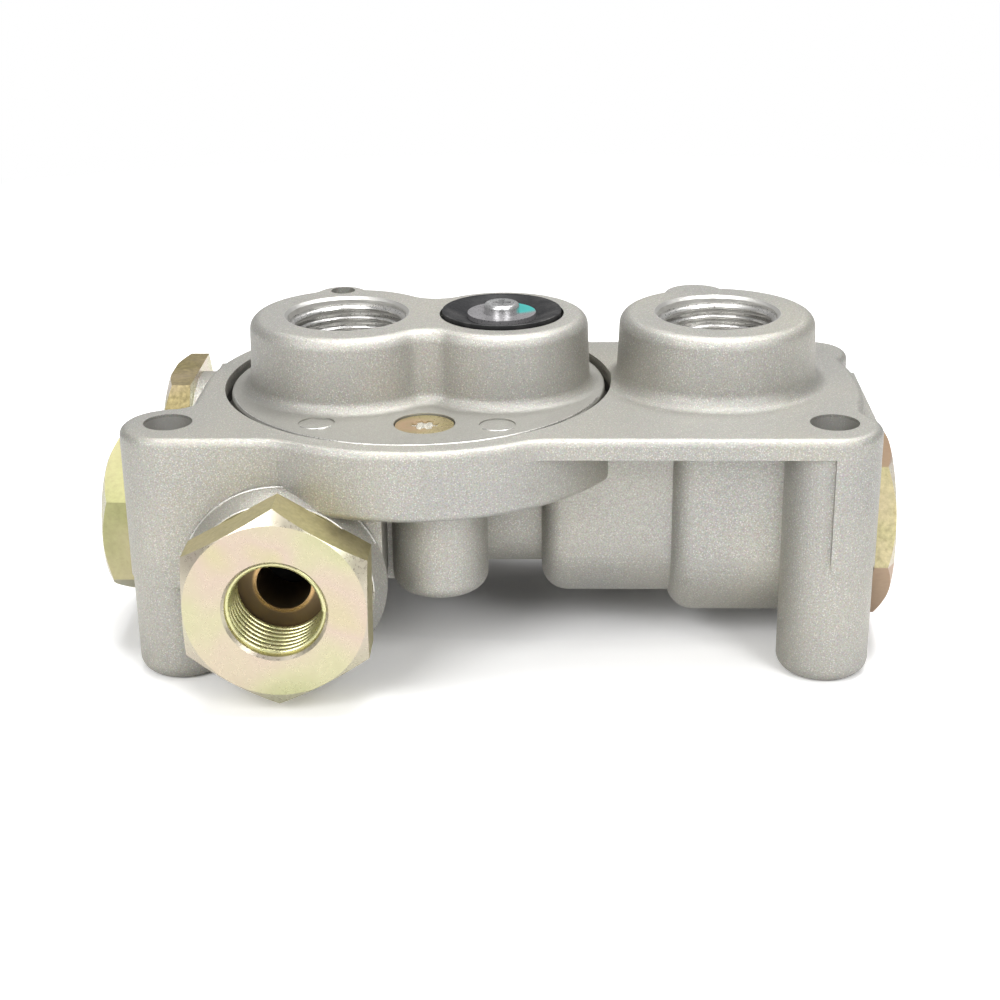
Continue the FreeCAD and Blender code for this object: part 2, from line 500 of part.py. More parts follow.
bore(cylinder("release_pocket", "<pocket_r>", "4", "<right_lobe_x>", "<lobe_y>", "<pocket_floor_z>"))
housing = cut("housing", outer_soft, bores)

# The cover with its two lobes.
disc = cylinder("cover_disc", "<cover_r>", "<cover_top_z> - <cover_seat_z>", "<ring_x>", "<ring_y>",
                "<cover_seat_z>")
disc_soft = rounded("cover_disc_soft", disc, "cover_rim_round", lambda e, m: flat_at(e, val("cover_top_z")))
lobe_low = "<cover_top_z> - 0.4"
lobe_high = "<port_top_z> - <cover_top_z> + 0.4"
lobe_a = cone("lobe_a", "<boss_top_r> + <lobe_draft>", "<boss_top_r>", lobe_high, "<left_lobe_x>", "<lobe_y>",
              lobe_low)
lobe_b = cone("lobe_b", "<exhaust_lobe_r> + <lobe_draft>", "<exhaust_lobe_r>", lobe_high, "<right_lobe_x>",
              "<lobe_y>", lobe_low)
cover_post = cylinder("cover_post", "<post_r>", lobe_high, "<cover_post_x>", "<cover_post_y>", lobe_low)
lobes = fuse("lobes", [lobe_a, lobe_b, cover_post])


def valley(edge, middle):
    # the two upright lines where the lobes meet
    box_ = edge.BoundBox
    between = val("left_lobe_x") < middle.x < val("right_lobe_x")
    reach = abs(middle.y - val("lobe_y"))
    return box_.ZLength > 0.6 * val("boss_height") and box_.XLength < 3 and between and (
        near(away(middle, "right_lobe_x", "lobe_y"), val("exhaust_lobe_r") + val("lobe_draft") / 2,
             0.2)) and (
        reach > 1.0)


lobes_post = rounded("lobes_post", lobes, "post_round", post_valley("cover_post_x", "cover_post_y"))
lobes_valley = rounded("lobes_valley", lobes_post, "valley_round", valley)
lobes_soft = rounded("lobes_soft", lobes_valley, "boss_top_round", lambda e, m: flat_at(e, val("port_top_z")))
cover_form = fuse("cover_form", [disc_soft, lobes_soft])


def lobe_foot(edge, middle):
    dx = middle.x - val("ring_x")
    dy = middle.y - val("ring_y")
    return flat_at(edge, val("cover_top_z")) and (dx * dx + dy * dy) ** 0.5 < val("cover_r") - 1.0


cover_soft = rounded("cover_soft", cover_form, "lobe_base_round", lobe_foot)
exhaust_seat = cylinder("exhaust_seat", "<exhaust_seat_outer_r>", "<cover_seat_z> - <exhaust_seat_z> + 1",
                        "<right_lobe_x>", "<lobe_y>", "<exhaust_seat_z>")
cover_solid = fuse("cover_solid", [cover_soft, exhaust_seat])
# two shallow round marks of the mould's ejector pins, half hidden under the feet of the lobes
cover_cuts = []
for side, lobe_r in (("left", "<boss_top_r>"), ("right", "<exhaust_lobe_r>")):
    turn = "<pin_mark_%s_turn>" % side
    mark = cylinder("pin_mark_" + side, "<pin_mark_r>", "2", "<ring_x> + <pin_mark_out> * cos(%s)" % turn,
                    "<ring_y> + <pin_mark_out> * sin(%s)" % turn, "<cover_top_z> - <pin_mark_depth>")
    foot = cylinder("pin_mark_foot_" + side, lobe_r + " + <lobe_draft> + <lobe_base_round> + 0.1", "4",
                    "<%s_lobe_x>" % side, "<lobe_y>", "<cover_top_z> - 1")
    cover_cuts.append(cut("pin_mark_cut_" + side, mark, [foot]))
bar_keep = box("bar_keep", "<right_lobe_x> - 12", "<right_lobe_x> + 12", "<lobe_y> - <bar_half_width>",
               "<lobe_y> + <bar_half_width>", "<bar_bottom_z>", "<flap_seat_z>")
throat = cylinder("throat", "<exhaust_throat_r>", "<flap_seat_z> - <exhaust_throat_floor_z> + 0.5",
                  "<right_lobe_x>", "<lobe_y>", "<exhaust_throat_floor_z>")
throat_open = cut("throat_open", throat, [bar_keep])
cover_cuts += [
    cylinder("cover_port_thread", "<port_wall_r>", "<port_thread_depth> + 1", "<left_lobe_x>", "<lobe_y>",
             "<port_top_z> - <port_thread_depth>"),
    cone("cover_port_lead", "<port_wall_r>", "<port_wall_r> + <port_chamfer>", "<port_chamfer>",
         "<left_lobe_x>",
         "<lobe_y>", "<port_top_z> - <port_chamfer> + 0.01"),
    cylinder("cover_port_low", "<lower_port_r>", "20", "<left_lobe_x>", "<lobe_y>",
             "<port_top_z> - <port_thread_depth> - 19"),
    cylinder("flap_pocket", "<flap_pocket_r>", "10", "<right_lobe_x>", "<lobe_y>", "<flap_seat_z>"),
    throat_open,
    cylinder("exhaust_seat_bore", "<exhaust_seat_bore_r>", "<exhaust_throat_floor_z> - <exhaust_seat_z> + 2",
             "<right_lobe_x>", "<lobe_y>", "<exhaust_seat_z> - 1"),
    cylinder("flap_screw_hole", "<flap_screw_r> + <thread_gap>", "20", "<right_lobe_x>", "<lobe_y>",
             "<bar_bottom_z> - 1"),
    cylinder("post_hole", "<post_hole_r>", "<post_hole_depth> + 1", "<cover_post_x>",
             "<cover_post_y> + <post_hole_shift>", "<port_top_z> - <post_hole_depth>"),
]
for side in ("front", "back"):
    y = "<screw_%s_y>" % side
    cover_cuts.append(cylinder("screw_counterbore_" + side, "<screw_counterbore_r>", "20", "<screw_x>", y,
                               "<screw_head_top_z> - <screw_head_rim>"))
    cover_cuts.append(cone("screw_sink_" + side, "<screw_hole_r>", "<screw_counterbore_r>",
                           "<screw_counterbore_r> - <screw_hole_r>", "<screw_x>", y,
                           "<screw_head_top_z> - <screw_head_rim> - <screw_counterbore_r> + <screw_hole_r>"))
    cover_cuts.append(cylinder("screw_hole_" + side, "<screw_hole_r>", "20", "<screw_x>", y,
                               "<cover_seat_z> - 10"))
cover = cut("cover", cover_solid, cover_cuts)

# The two cover screws.
finished = {"housing": housing, "cover": cover}
for side in ("front", "back"):
    y = "<screw_%s_y>" % side
    rim = cylinder("screw_rim_" + side, "<screw_head_r>", "<screw_head_rim>", "<screw_x>", y,
                   "<screw_head_top_z> - <screw_head_rim>")
    under = cone("screw_under_" + side, "<screw_thread_r>", "<screw_head_r>",
                 "<screw_head_r> - <screw_thread_r>",
                 "<screw_x>", y, "<screw_head_top_z> - <screw_head_rim> - <screw_head_r> + <screw_thread_r>")
    shank = cylinder("screw_shank_" + side, "<screw_thread_r>",
                     "<screw_head_top_z> - <screw_head_rim> - 1 - <screw_tip_z>", "<screw_x>", y, "<screw_tip_z>")
    points = []
    for arm in range(3):
        slot = doc.addObject("Part::Box", "recess_%s_%d" % (side, arm))
        turn = FreeCAD.Rotation(FreeCAD.Vector(0, 0, 1), 60 * arm)
        corner = turn.multVec(FreeCAD.Vector(-val("screw_recess_r"), -val("screw_recess_arm") / 2, 0))
        slot.Placement = FreeCAD.Placement(FreeCAD.Vector(), turn)
        bind(slot, "Length", "2 * <screw_recess_r>")
        bind(slot, "Width", "<screw_recess_arm>")
        bind(slot, "Height", "<screw_recess_depth> + 1")
        place(slot, "<screw_x> + (%.5f)" % corner.x, y + " + (%.5f)" % corner.y,
              "<screw_head_top_z> - <screw_recess_depth>")
        points.append(slot)
    points.append(cylinder("recess_core_" + side, "<screw_recess_r> * 0.72", "<screw_recess_depth> + 1",
                           "<screw_x>", y, "<screw_head_top_z> - <screw_recess_depth>"))
    body = fuse("screw_body_" + side, [rim, under, shank])
    finished["cover_screw_" + side] = cut("cover_screw_" + side, body, points)

# The cover seal.
finished["cover_seal"] = cut("cover_seal", stadium("seal_out",
                                                   "<chamber_half_width> + <seal_gap> + <seal_width>",
                                                   "<cover_seat_z> - <seal_groove_depth>", "<seal_groove_depth>"),
                             [stadium("seal_in", "<chamber_half_width> + <seal_gap>",
                                      "<cover_seat_z> - <seal_groove_depth> - 1", "<seal_groove_depth> + 2")])

# The exhaust flap with its washer and screw.
x, y = "<right_lobe_x>", "<lobe_y>"
flap_disc = cylinder("flap_disc", "<flap_r>", "<flap_rim_z> - <flap_seat_z>", x, y, "<flap_seat_z>")
dish = cone("flap_dish", "<washer_r> + <washer_room>", "<flap_r> - <flap_rim_wall>",
            "<flap_height> - <flap_thick> + 0.01", x, y, "<flap_seat_z> + <flap_thick>")
flap_hole = cylinder("flap_hole", "<flap_hole_r>", "20", x, y, "<flap_seat_z> - 5")
finished["exhaust_flap"] = cut("exhaust_flap", flap_disc, [dish, flap_hole])
washer_disc = cylinder("washer_disc", "<washer_r>", "<washer_thick>", x, y, "<flap_seat_z> + <flap_thick>")
washer_hole = cylinder("washer_hole", "<flap_hole_r>", "20", x, y, "<flap_seat_z> - 5")
finished["flap_washer"] = cut("flap_washer", washer_disc, [washer_hole])
head = cylinder("flap_screw_head", "<flap_screw_head_r>", "<flap_screw_head_height>", x, y,
                "<flap_seat_z> + <flap_thick> + <washer_thick>")
head_soft = rounded("flap_screw_head_soft", head, "head_round",
                    lambda e, m: flat_at(e, val("flap_seat_z") + val("flap_thick") + val("washer_thick") +
                                         val("flap_screw_head_height")))
pin = cylinder("flap_screw_pin", "<flap_screw_r>",
               "<flap_seat_z> + <flap_thick> + 1 - <flap_screw_tip_z>", x, y,
               "<flap_screw_tip_z>")
screw_form = fuse("flap_screw_form", [head_soft, pin])
arms = []
recess_low = "<flap_seat_z> + <flap_thick> + <washer_thick> + <flap_screw_head_height> - <flap_recess_depth>"
for arm, (long_way, short_way) in enumerate((("length", "width"), ("width", "length"))):
    half_x = "<flap_recess_%s> / 2" % long_way
    half_y = "<flap_recess_%s> / 2" % short_way
    arms.append(box("flap_recess_%d" % arm, x + " - " + half_x, x + " + " + half_x, y + " - " + half_y,
                    y + " + " + half_y, recess_low, recess_low + " + 3"))
finished["flap_screw"] = cut("flap_screw", screw_form, arms)


# The adapters and the end cap.
def adapter(name, across, face, seat, stem_end, stem_r, port_r, axis, at1, at2, turn, sign, through_r):
    # face, seat and stem_end are places along the axis; sign is the way the face looks
    def at(place_):
        if axis == "x":
            return place_, at1, at2
        return at1, place_, at2
    low_hex = face if sign < 0 else seat
    hex_len = "(%s) - (%s)" % ((seat, face) if sign < 0 else (face, seat))
    hx = hexagon(name + "_hex", across, hex_len, *at(low_hex), axis, turn)
    big_r = "(%s) / 1.7320508 + 0.2" % across
    small_r = "(%s) / 1.7320508 + 0.2 - <hex_chamfer_angle_run>" % across
    if sign < 0:
        nose = cone(name + "_chamfer", small_r, big_r, "<hex_chamfer>", *at(face), axis)
        rest = cylinder(name + "_rest", big_r, hex_len, *at("(%s) + <hex_chamfer>" % face), axis)
        stem = cylinder(name + "_stem", "(%s) - <thread_gap>" % stem_r, "(%s) - (%s)" % (stem_end, seat),
                        *at(seat),
                        axis)
        port = cylinder(name + "_port", port_r, "<adapter_port_depth>", *at(face), axis)
        lead = cone(name + "_lead", "(%s) + <port_chamfer>" % port_r, port_r, "<port_chamfer>",
                    *at("(%s) - 0.01" % face), axis)
        through = cylinder(name + "_through", through_r, "(%s) - (%s) + 2" % (stem_end, face), *at(face),
                           axis)
    else:
        nose = cone(name + "_chamfer", big_r, small_r, "<hex_chamfer>",
                    *at("(%s) - <hex_chamfer>" % face), axis)
        rest = cylinder(name + "_rest", big_r, hex_len, *at("(%s) - <hex_chamfer>" % seat), axis)
        stem = cylinder(name + "_stem", "(%s) - <thread_gap>" % stem_r, "(%s) - (%s)" % (seat, stem_end),
                        *at(stem_end),
                        axis)
    envelope = fuse(name + "_envelope", [nose, rest])
    hex_soft = common(name + "_hex_soft", hx, envelope)
    return hex_soft, stem, ([port, lead, through] if sign < 0 else [])


def stem_groove(name, stem_r, x_, y_, z_, axis):
    # a square groove round the stem, right under the hexagon
    out = cylinder(name + "_groove_out", "(%s) + 3" % stem_r, "<ring_cord>", x_, y_, z_, axis)
    inn = cylinder(name + "_groove_in", "(%s) - <thread_gap> - <ring_cord> * 0.8" % stem_r, "<ring_cord>",
                   x_, y_, z_,
                   axis)
    return cut(name + "_groove", out, [inn])


def cord_ring(name, stem_r, x_, y_, z_, axis):
    # the ring fills the groove between the stem and the bore
    out = cylinder(name + "_out", "(%s)" % stem_r, "<ring_cord> - 2 * <ring_side_gap>", x_, y_, z_, axis)
    inn = cylinder(name + "_in", "(%s) - <thread_gap> - <ring_cord> * 0.8" % stem_r, "<ring_cord>", x_,
                   y_, z_, axis)
    return cut(name, out, [inn])


SPECS = [
    ("front_adapter", "<front_hex_across>", "<front_face_y>", "<front_boss_tip_y>", "<front_stem_end_y>",
     "<front_stem_r>", "<front_port_r>", "y", "<front_axis_x>", "<front_axis_z>", "front_hex_turn", -1, "<shuttle_seat_r>"),
    ("left_adapter", "<left_hex_across>", "<left_face_x>", "<left_boss_tip_x>", "<left_stem_end_x>",
     "<left_stem_r>", "<left_port_r>", "x", "<main_axis_y>", "<main_axis_z>", "left_hex_turn", -1,
     "<left_chamber_r>"),
    ("supply_adapter", "<supply_hex_across>", "<supply_face_x>", "<supply_boss_tip_x>", "<supply_stem_end_x>",
     "<supply_stem_r>", "<supply_port_r>", "x", "<supply_axis_y>", "<supply_axis_z>", "supply_hex_turn", -1,
     "<supply_passage_r> + 2.5"),
]
for name, across, face, seat, stem_end, stem_r, port_r, axis, at1, at2, turn, sign, through_r in SPECS:
    hex_soft, stem, cuts = adapter(name, across, face, seat, stem_end, stem_r, port_r, axis, at1, at2,
                                   turn, sign,
                                   through_r)
    spot = (seat + " + 1.2", at1, at2) if axis == "x" else (at1, seat + " + 1.2", at2)
    cuts.append(stem_groove(name, stem_r, *spot, axis))
    whole = fuse(name + "_form", [hex_soft, stem])
    finished[name] = cut(name, whole, cuts)
    inside = " + 1.2 + <ring_side_gap>"
    spot = (seat + inside, at1, at2) if axis == "x" else (at1, seat + inside, at2)
    finished[name + "_o_ring"] = cord_ring(name + "_o_ring", stem_r, *spot, axis)

hex_soft, stem, cuts = adapter("end_cap", "<cap_hex_across>", "<cap_face_x>", "<big_right_x>",
                               "<cap_stem_left_x>",
                               "<cap_stem_r>", "0", "x", "<main_axis_y>", "<main_axis_z>", "cap_hex_turn", 1, "0")
cap_form = fuse("end_cap_form", [hex_soft, stem])
cap_pocket = cylinder("cap_pocket", "<cap_pocket_r>", "<cap_pocket_floor_x> - <cap_stem_left_x> + 1",
                      "<cap_stem_left_x> - 1", "<main_axis_y>", "<main_axis_z>", "x")
cap_groove = stem_groove("end_cap", "<cap_stem_r>", "<big_right_x> - 1.2 - <ring_cord>", "<main_axis_y>",
                         "<main_axis_z>", "x")
finished["end_cap"] = cut("end_cap", cap_form, [cap_pocket, cap_groove])
finished["end_cap_o_ring"] = cord_ring("end_cap_o_ring", "<cap_stem_r>",
                                       "<big_right_x> - 1.2 + <ring_side_gap> - <ring_cord>",
                                       "<main_axis_y>", "<main_axis_z>", "x")

# The plunger with its rings, seal and spring.
y, z = "<main_axis_y>", "<main_axis_z>"
head = cylinder("plunger_head", "<big_bore_r> - <fit_gap>", "<plunger_head_right_x> - <plunger_head_left_x>",
                "<plunger_head_left_x>", y, z, "x")
neck = cylinder("plunger_neck", "<plunger_neck_r>", "<plunger_head_left_x> - <plunger_land_right_x> + 1",
                "<plunger_land_right_x> - 0.5", y, z, "x")
land = cylinder("plunger_land", "<mid_bore_r> - <fit_gap>", "<plunger_land_right_x> - <plunger_land_left_x>",
                "<plunger_land_left_x>", y, z, "x")
nose = cylinder("plunger_nose", "<plunger_nose_r>", "<plunger_land_left_x> - <plunger_nose_left_x> + 0.5",
                "<plunger_nose_left_x>", y, z, "x")
plunger_form = fuse("plunger_form", [head, neck, land, nose])


def land_groove(name, r, centre):
    out = cylinder(name + "_out", "(%s) + 1" % r, "<plunger_groove_width>",
                   "(%s) - <plunger_groove_width> / 2" % centre, y, z, "x")
    inn = cylinder(name + "_in", "(%s) - <plunger_groove_depth>" % r, "<plunger_groove_width>",
                   "(%s) - <plunger_groove_width> / 2" % centre, y, z, "x")
    return cut(name, out, [inn])


def land_ring(name, r, centre):
    out = cylinder(name + "_out", "(%s) - <fit_gap>" % r, "<plunger_groove_width> - 2 * <ring_side_gap>",
                   "(%s) - <plunger_groove_width> / 2 + <ring_side_gap>" % centre, y, z, "x")
    inn = cylinder(name + "_in", "(%s) - <fit_gap> - <plunger_groove_depth>" % r, "<plunger_groove_width>",
                   "(%s) - <plunger_groove_width> / 2" % centre, y, z, "x")
    return cut(name, out, [inn])


head_mid = "(<plunger_head_left_x> + <plunger_head_right_x>) / 2"
land_mid = "(<plunger_land_left_x> + <plunger_land_right_x>) / 2"
head_groove = land_groove("plunger_head_groove", "<big_bore_r> - <fit_gap>", head_mid)
small_groove = land_groove("plunger_land_groove", "<mid_bore_r> - <fit_gap>", land_mid)
seal_pocket = cylinder("plunger_seal_pocket", "<face_seal_r>", "<face_seal_pocket> + 1",
                       "<plunger_nose_left_x> - 1", y, z, "x")
spring_out = cylinder("plunger_spring_out", "<spring_r> + <spring_wire_r> + 0.4", "<spring_pocket_depth> + 1",
                      "<plunger_head_right_x> - <spring_pocket_depth>", y, z, "x")
spring_in = cylinder("plunger_spring_in", "<spring_r> - <spring_wire_r> - 0.4", "<spring_pocket_depth> + 3",
                     "<plunger_head_right_x> - <spring_pocket_depth> - 1", y, z, "x")
spring_groove = cut("plunger_spring_groove", spring_out, [spring_in])
finished["plunger"] = cut("plunger", plunger_form, [head_groove, small_groove, seal_pocket, spring_groove])
finished["plunger_large_o_ring"] = land_ring("plunger_large_o_ring", "<big_bore_r>", head_mid)
finished["plunger_small_o_ring"] = land_ring("plunger_small_o_ring", "<mid_bore_r>", land_mid)
finished["plunger_face_seal"] = cylinder("plunger_face_seal", "<face_seal_r>",
                                         "<plunger_nose_left_x> + <face_seal_pocket> - <seat_x> - <face_gap>",
                                         "<seat_x> + <face_gap>", y, z, "x")

spring_x0 = val("plunger_head_right_x") - val("spring_pocket_depth") + val("spring_wire_r")
spring_x1 = val("cap_pocket_floor_x") - val("spring_wire_r")
spring_len = spring_x1 - spring_x0
helix = Part.makeLongHelix(spring_len / val("spring_turns"), spring_len, val("spring_r"))
start = FreeCAD.Vector(val("spring_r"), 0, 0)
rise_per_turn = spring_len / val("spring_turns")
tangent = FreeCAD.Vector(0, 2 * 3.14159265 * val("spring_r"), rise_per_turn)
wire_section = Part.Wire([Part.makeCircle(val("spring_wire_r"), start, tangent)])
sweep = Part.BRepOffsetAPI.MakePipeShell(Part.Wire(helix.Edges))
sweep.setFrenetMode(True)
sweep.add(wire_section)
sweep.build()
sweep.makeSolid()
coil = sweep.shape()
spring = doc.addObject("Part::Feature", "plunger_spring")
spring.Shape = coil
spring.Placement = FreeCAD.Placement(FreeCAD.Vector(spring_x0, val("main_axis_y"), val("main_axis_z")),
                                     AXES["x"])
finished["plunger_spring"] = spring

# The shuttle and the release diaphragm.
finished["shuttle"] = cylinder("shuttle", "<shuttle_bore_r> - <shuttle_gap>", "<shuttle_length>",
                               "<front_axis_x>", "<front_stem_end_y> + <face_gap>", "<front_axis_z>", "y")
finished["release_diaphragm"] = cylinder("release_diaphragm", "<diaphragm_r>",
                                         "<exhaust_seat_z> - <chamber_floor_z>", "<right_lobe_x>", "<lobe_y>",
                                         "<chamber_floor_z>")

doc.recompute()
for obj in doc.Objects:
    if "Invalid" in obj.State or "Error" in obj.State:
        raise ValueError("object in error: " + obj.Name)
for name, obj in finished.items():
    shape = obj.Shape
    if shape.isNull() or not shape.isValid() or len(shape.Solids) != 1:
        raise ValueError("bad solid: %s, %d solids" % (name, len(shape.Solids)))
    obj.Label = name
    shape.exportStep("parts/%s.step" % name)
    print(name, "volume", round(shape.Volume), "faces", len(shape.Faces))
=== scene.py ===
# %% [markdown]
# # Tractor protection valve
# An air valve for a truck: a die-cast aluminium housing, a round cast cover let into its top, zinc-plated
# hexagon fittings, and a rubber flap over the exhaust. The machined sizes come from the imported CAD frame.
# This lesson dresses that frame: it adds what a CAD model leaves out, such as screw threads, and gives each
# metal and rubber its own finish.

# %% Load the frame
import math

import bmesh
import bpy
from mathutils import Matrix, Vector


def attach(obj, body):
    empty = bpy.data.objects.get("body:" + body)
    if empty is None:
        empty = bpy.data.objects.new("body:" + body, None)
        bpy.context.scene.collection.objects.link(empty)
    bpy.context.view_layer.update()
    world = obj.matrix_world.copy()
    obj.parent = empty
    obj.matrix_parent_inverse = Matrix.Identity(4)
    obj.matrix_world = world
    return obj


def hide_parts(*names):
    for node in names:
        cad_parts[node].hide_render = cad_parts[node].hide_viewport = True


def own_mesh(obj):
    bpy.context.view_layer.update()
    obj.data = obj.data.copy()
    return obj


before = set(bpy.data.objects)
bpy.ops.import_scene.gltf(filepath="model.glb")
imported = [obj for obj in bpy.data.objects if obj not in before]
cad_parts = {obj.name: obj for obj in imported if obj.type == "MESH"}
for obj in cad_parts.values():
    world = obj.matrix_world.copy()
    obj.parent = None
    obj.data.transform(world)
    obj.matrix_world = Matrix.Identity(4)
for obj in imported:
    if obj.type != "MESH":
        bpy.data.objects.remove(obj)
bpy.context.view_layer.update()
MM = 0.001

# %% [markdown]
# ## Small helpers for node trees
# Every finish below is a tree of nodes. One helper adds a node, sets its options and joins or fills its
# inputs, so that a tree reads from top to bottom like a recipe.

# %% Node helper
def add(tree, kind, inputs=None, **options):
    node = tree.nodes.new(kind)
    for name, value in options.items():
        setattr(node, name, value)
    for name, value in (inputs or {}).items():
        if isinstance(value, bpy.types.NodeSocket):
            tree.links.new(value, node.inputs[name])
        else:
            node.inputs[name].default_value = value
    return node


def mix_colour(tree, factor, a, b, blend="MIX"):
    node = add(tree, "ShaderNodeMix", data_type="RGBA", blend_type=blend)
    for socket, value in ((node.inputs[0], factor), (node.inputs[6], a), (node.inputs[7], b)):
        if isinstance(value, bpy.types.NodeSocket):
            tree.links.new(value, socket)
        else:
            socket.default_value = value
    return node.outputs[2]


def ramp(tree, value, low, high, out_low=0.0, out_high=1.0):
    node = add(tree, "ShaderNodeMapRange", {"Value": value, "From Min": low, "From Max": high,
                                            "To Min": out_low, "To Max": out_high})
    return node.outputs[0]


def maths(tree, operation, a, b=0.5):
    node = add(tree, "ShaderNodeMath", {0: a, 1: b}, operation=operation)
    return node.outputs[0]


def new_group(name, inputs, outputs):
    tree = bpy.data.node_groups.new(name, "ShaderNodeTree")
    for label, kind, value in inputs:
        socket = tree.interface.new_socket(label, in_out="INPUT", socket_type="NodeSocket" + kind)
        socket.default_value = value
    for label, kind in outputs:
        tree.interface.new_socket(label, in_out="OUTPUT", socket_type="NodeSocket" + kind)
    return tree, add(tree, "NodeGroupInput"), add(tree, "NodeGroupOutput")


# %% [markdown]
# ## The skin of a casting
# Tumbled die-cast aluminium is not one grey. Up close it is a fine grain that sparkles, and over a hand's
# width it drifts between a warmer and a cooler tone where the metal flowed. Both are noise at different
# sizes, so one shader group makes them, and the housing and cover use it with their own tones.

# %% Group: cast skin
def build_cast_skin():
    tree, given, result = new_group(
        "cast_skin",
        [("Grain Scale", "Float", 4200.0), ("Cool Tone", "Color", (0.395, 0.388, 0.362, 1)),
         ("Warm Tone", "Color", (0.45, 0.435, 0.385, 1)), ("Fleck", "Float", 0.42), ("Stain", "Float", 0.2)],
        [("Colour", "Color"), ("Roughness", "Float"), ("Height", "Float")])
    place = add(tree, "ShaderNodeTexCoord").outputs["Object"]
    grain = add(tree, "ShaderNodeTexNoise", {"Vector": place, "Scale": given.outputs["Grain Scale"],
                                             "Detail": 3.0, "Roughness": 0.65}).outputs[0]
    drift = add(tree, "ShaderNodeTexNoise", {"Vector": place, "Scale": 38.0, "Detail": 3.0}).outputs[0]
    fleck_size = maths(tree, "MULTIPLY", given.outputs["Grain Scale"], 0.8)
    cells = add(tree, "ShaderNodeTexVoronoi", {"Vector": place, "Scale": fleck_size}, feature="F1")
    few = ramp(tree, maths(tree, "ADD", cells.outputs["Color"], 0.0), 0.58, 0.66)  # one cell in five sparkles
    fleck = maths(tree, "MULTIPLY", ramp(tree, cells.outputs["Distance"], 0.1, 0.45, 1.0, 0.0), few)
    stain = add(tree, "ShaderNodeTexNoise", {"Vector": place, "Scale": 150.0, "Detail": 5.0,
                                             "Roughness": 0.7}).outputs[0]
    stain = ramp(tree, stain, 0.60, 0.78)
    tone = mix_colour(tree, ramp(tree, drift, 0.35, 0.65), given.outputs["Cool Tone"],
                      given.outputs["Warm Tone"])
    dark = mix_colour(tree, ramp(tree, grain, 0.30, 0.70), (0.80, 0.80, 0.80, 1), (1.12, 1.12, 1.12, 1))
    tone = mix_colour(tree, 1.0, tone, dark, "MULTIPLY")
    fleck = maths(tree, "MULTIPLY", fleck, given.outputs["Fleck"])
    tone = mix_colour(tree, fleck, tone, (0.95, 0.94, 0.90, 1))
    hue = add(tree, "ShaderNodeTexNoise", {"Vector": place, "Scale": 3300.0, "Detail": 1.0}).outputs["Color"]
    tone = mix_colour(tree, 0.30, tone, hue, "SOFT_LIGHT")
    stain = maths(tree, "MULTIPLY", stain, given.outputs["Stain"])
    tone = mix_colour(tree, stain, tone, (0.20, 0.18, 0.16, 1))
    rough = maths(tree, "SUBTRACT", ramp(tree, grain, 0.3, 0.7, 0.60, 0.46),
                  maths(tree, "MULTIPLY", fleck, 0.3))
    height = maths(tree, "ADD", grain, maths(tree, "MULTIPLY", fleck, 0.6))
    for label, value in (("Colour", tone), ("Roughness", rough), ("Height", height)):
        tree.links.new(value, result.inputs[label])
    return tree


cast_skin = build_cast_skin()
print("group", cast_skin.name, "has", len(cast_skin.nodes), "nodes")

# %% [markdown]
# ## Zinc with a yellow passivation
# The fittings are steel, plated with zinc and dipped in chromate. The thin film splits light, so the same
# piece shows cream, pink and yellow-green, and the colour changes slowly, over some millimetres. The end of
# a fitting was turned on a lathe and stays pale and smooth. The flats are the drawn bar's own skin, so they
# come out a darker olive gold. The surface normal tells the three apart: along the axis, slanting, or across.

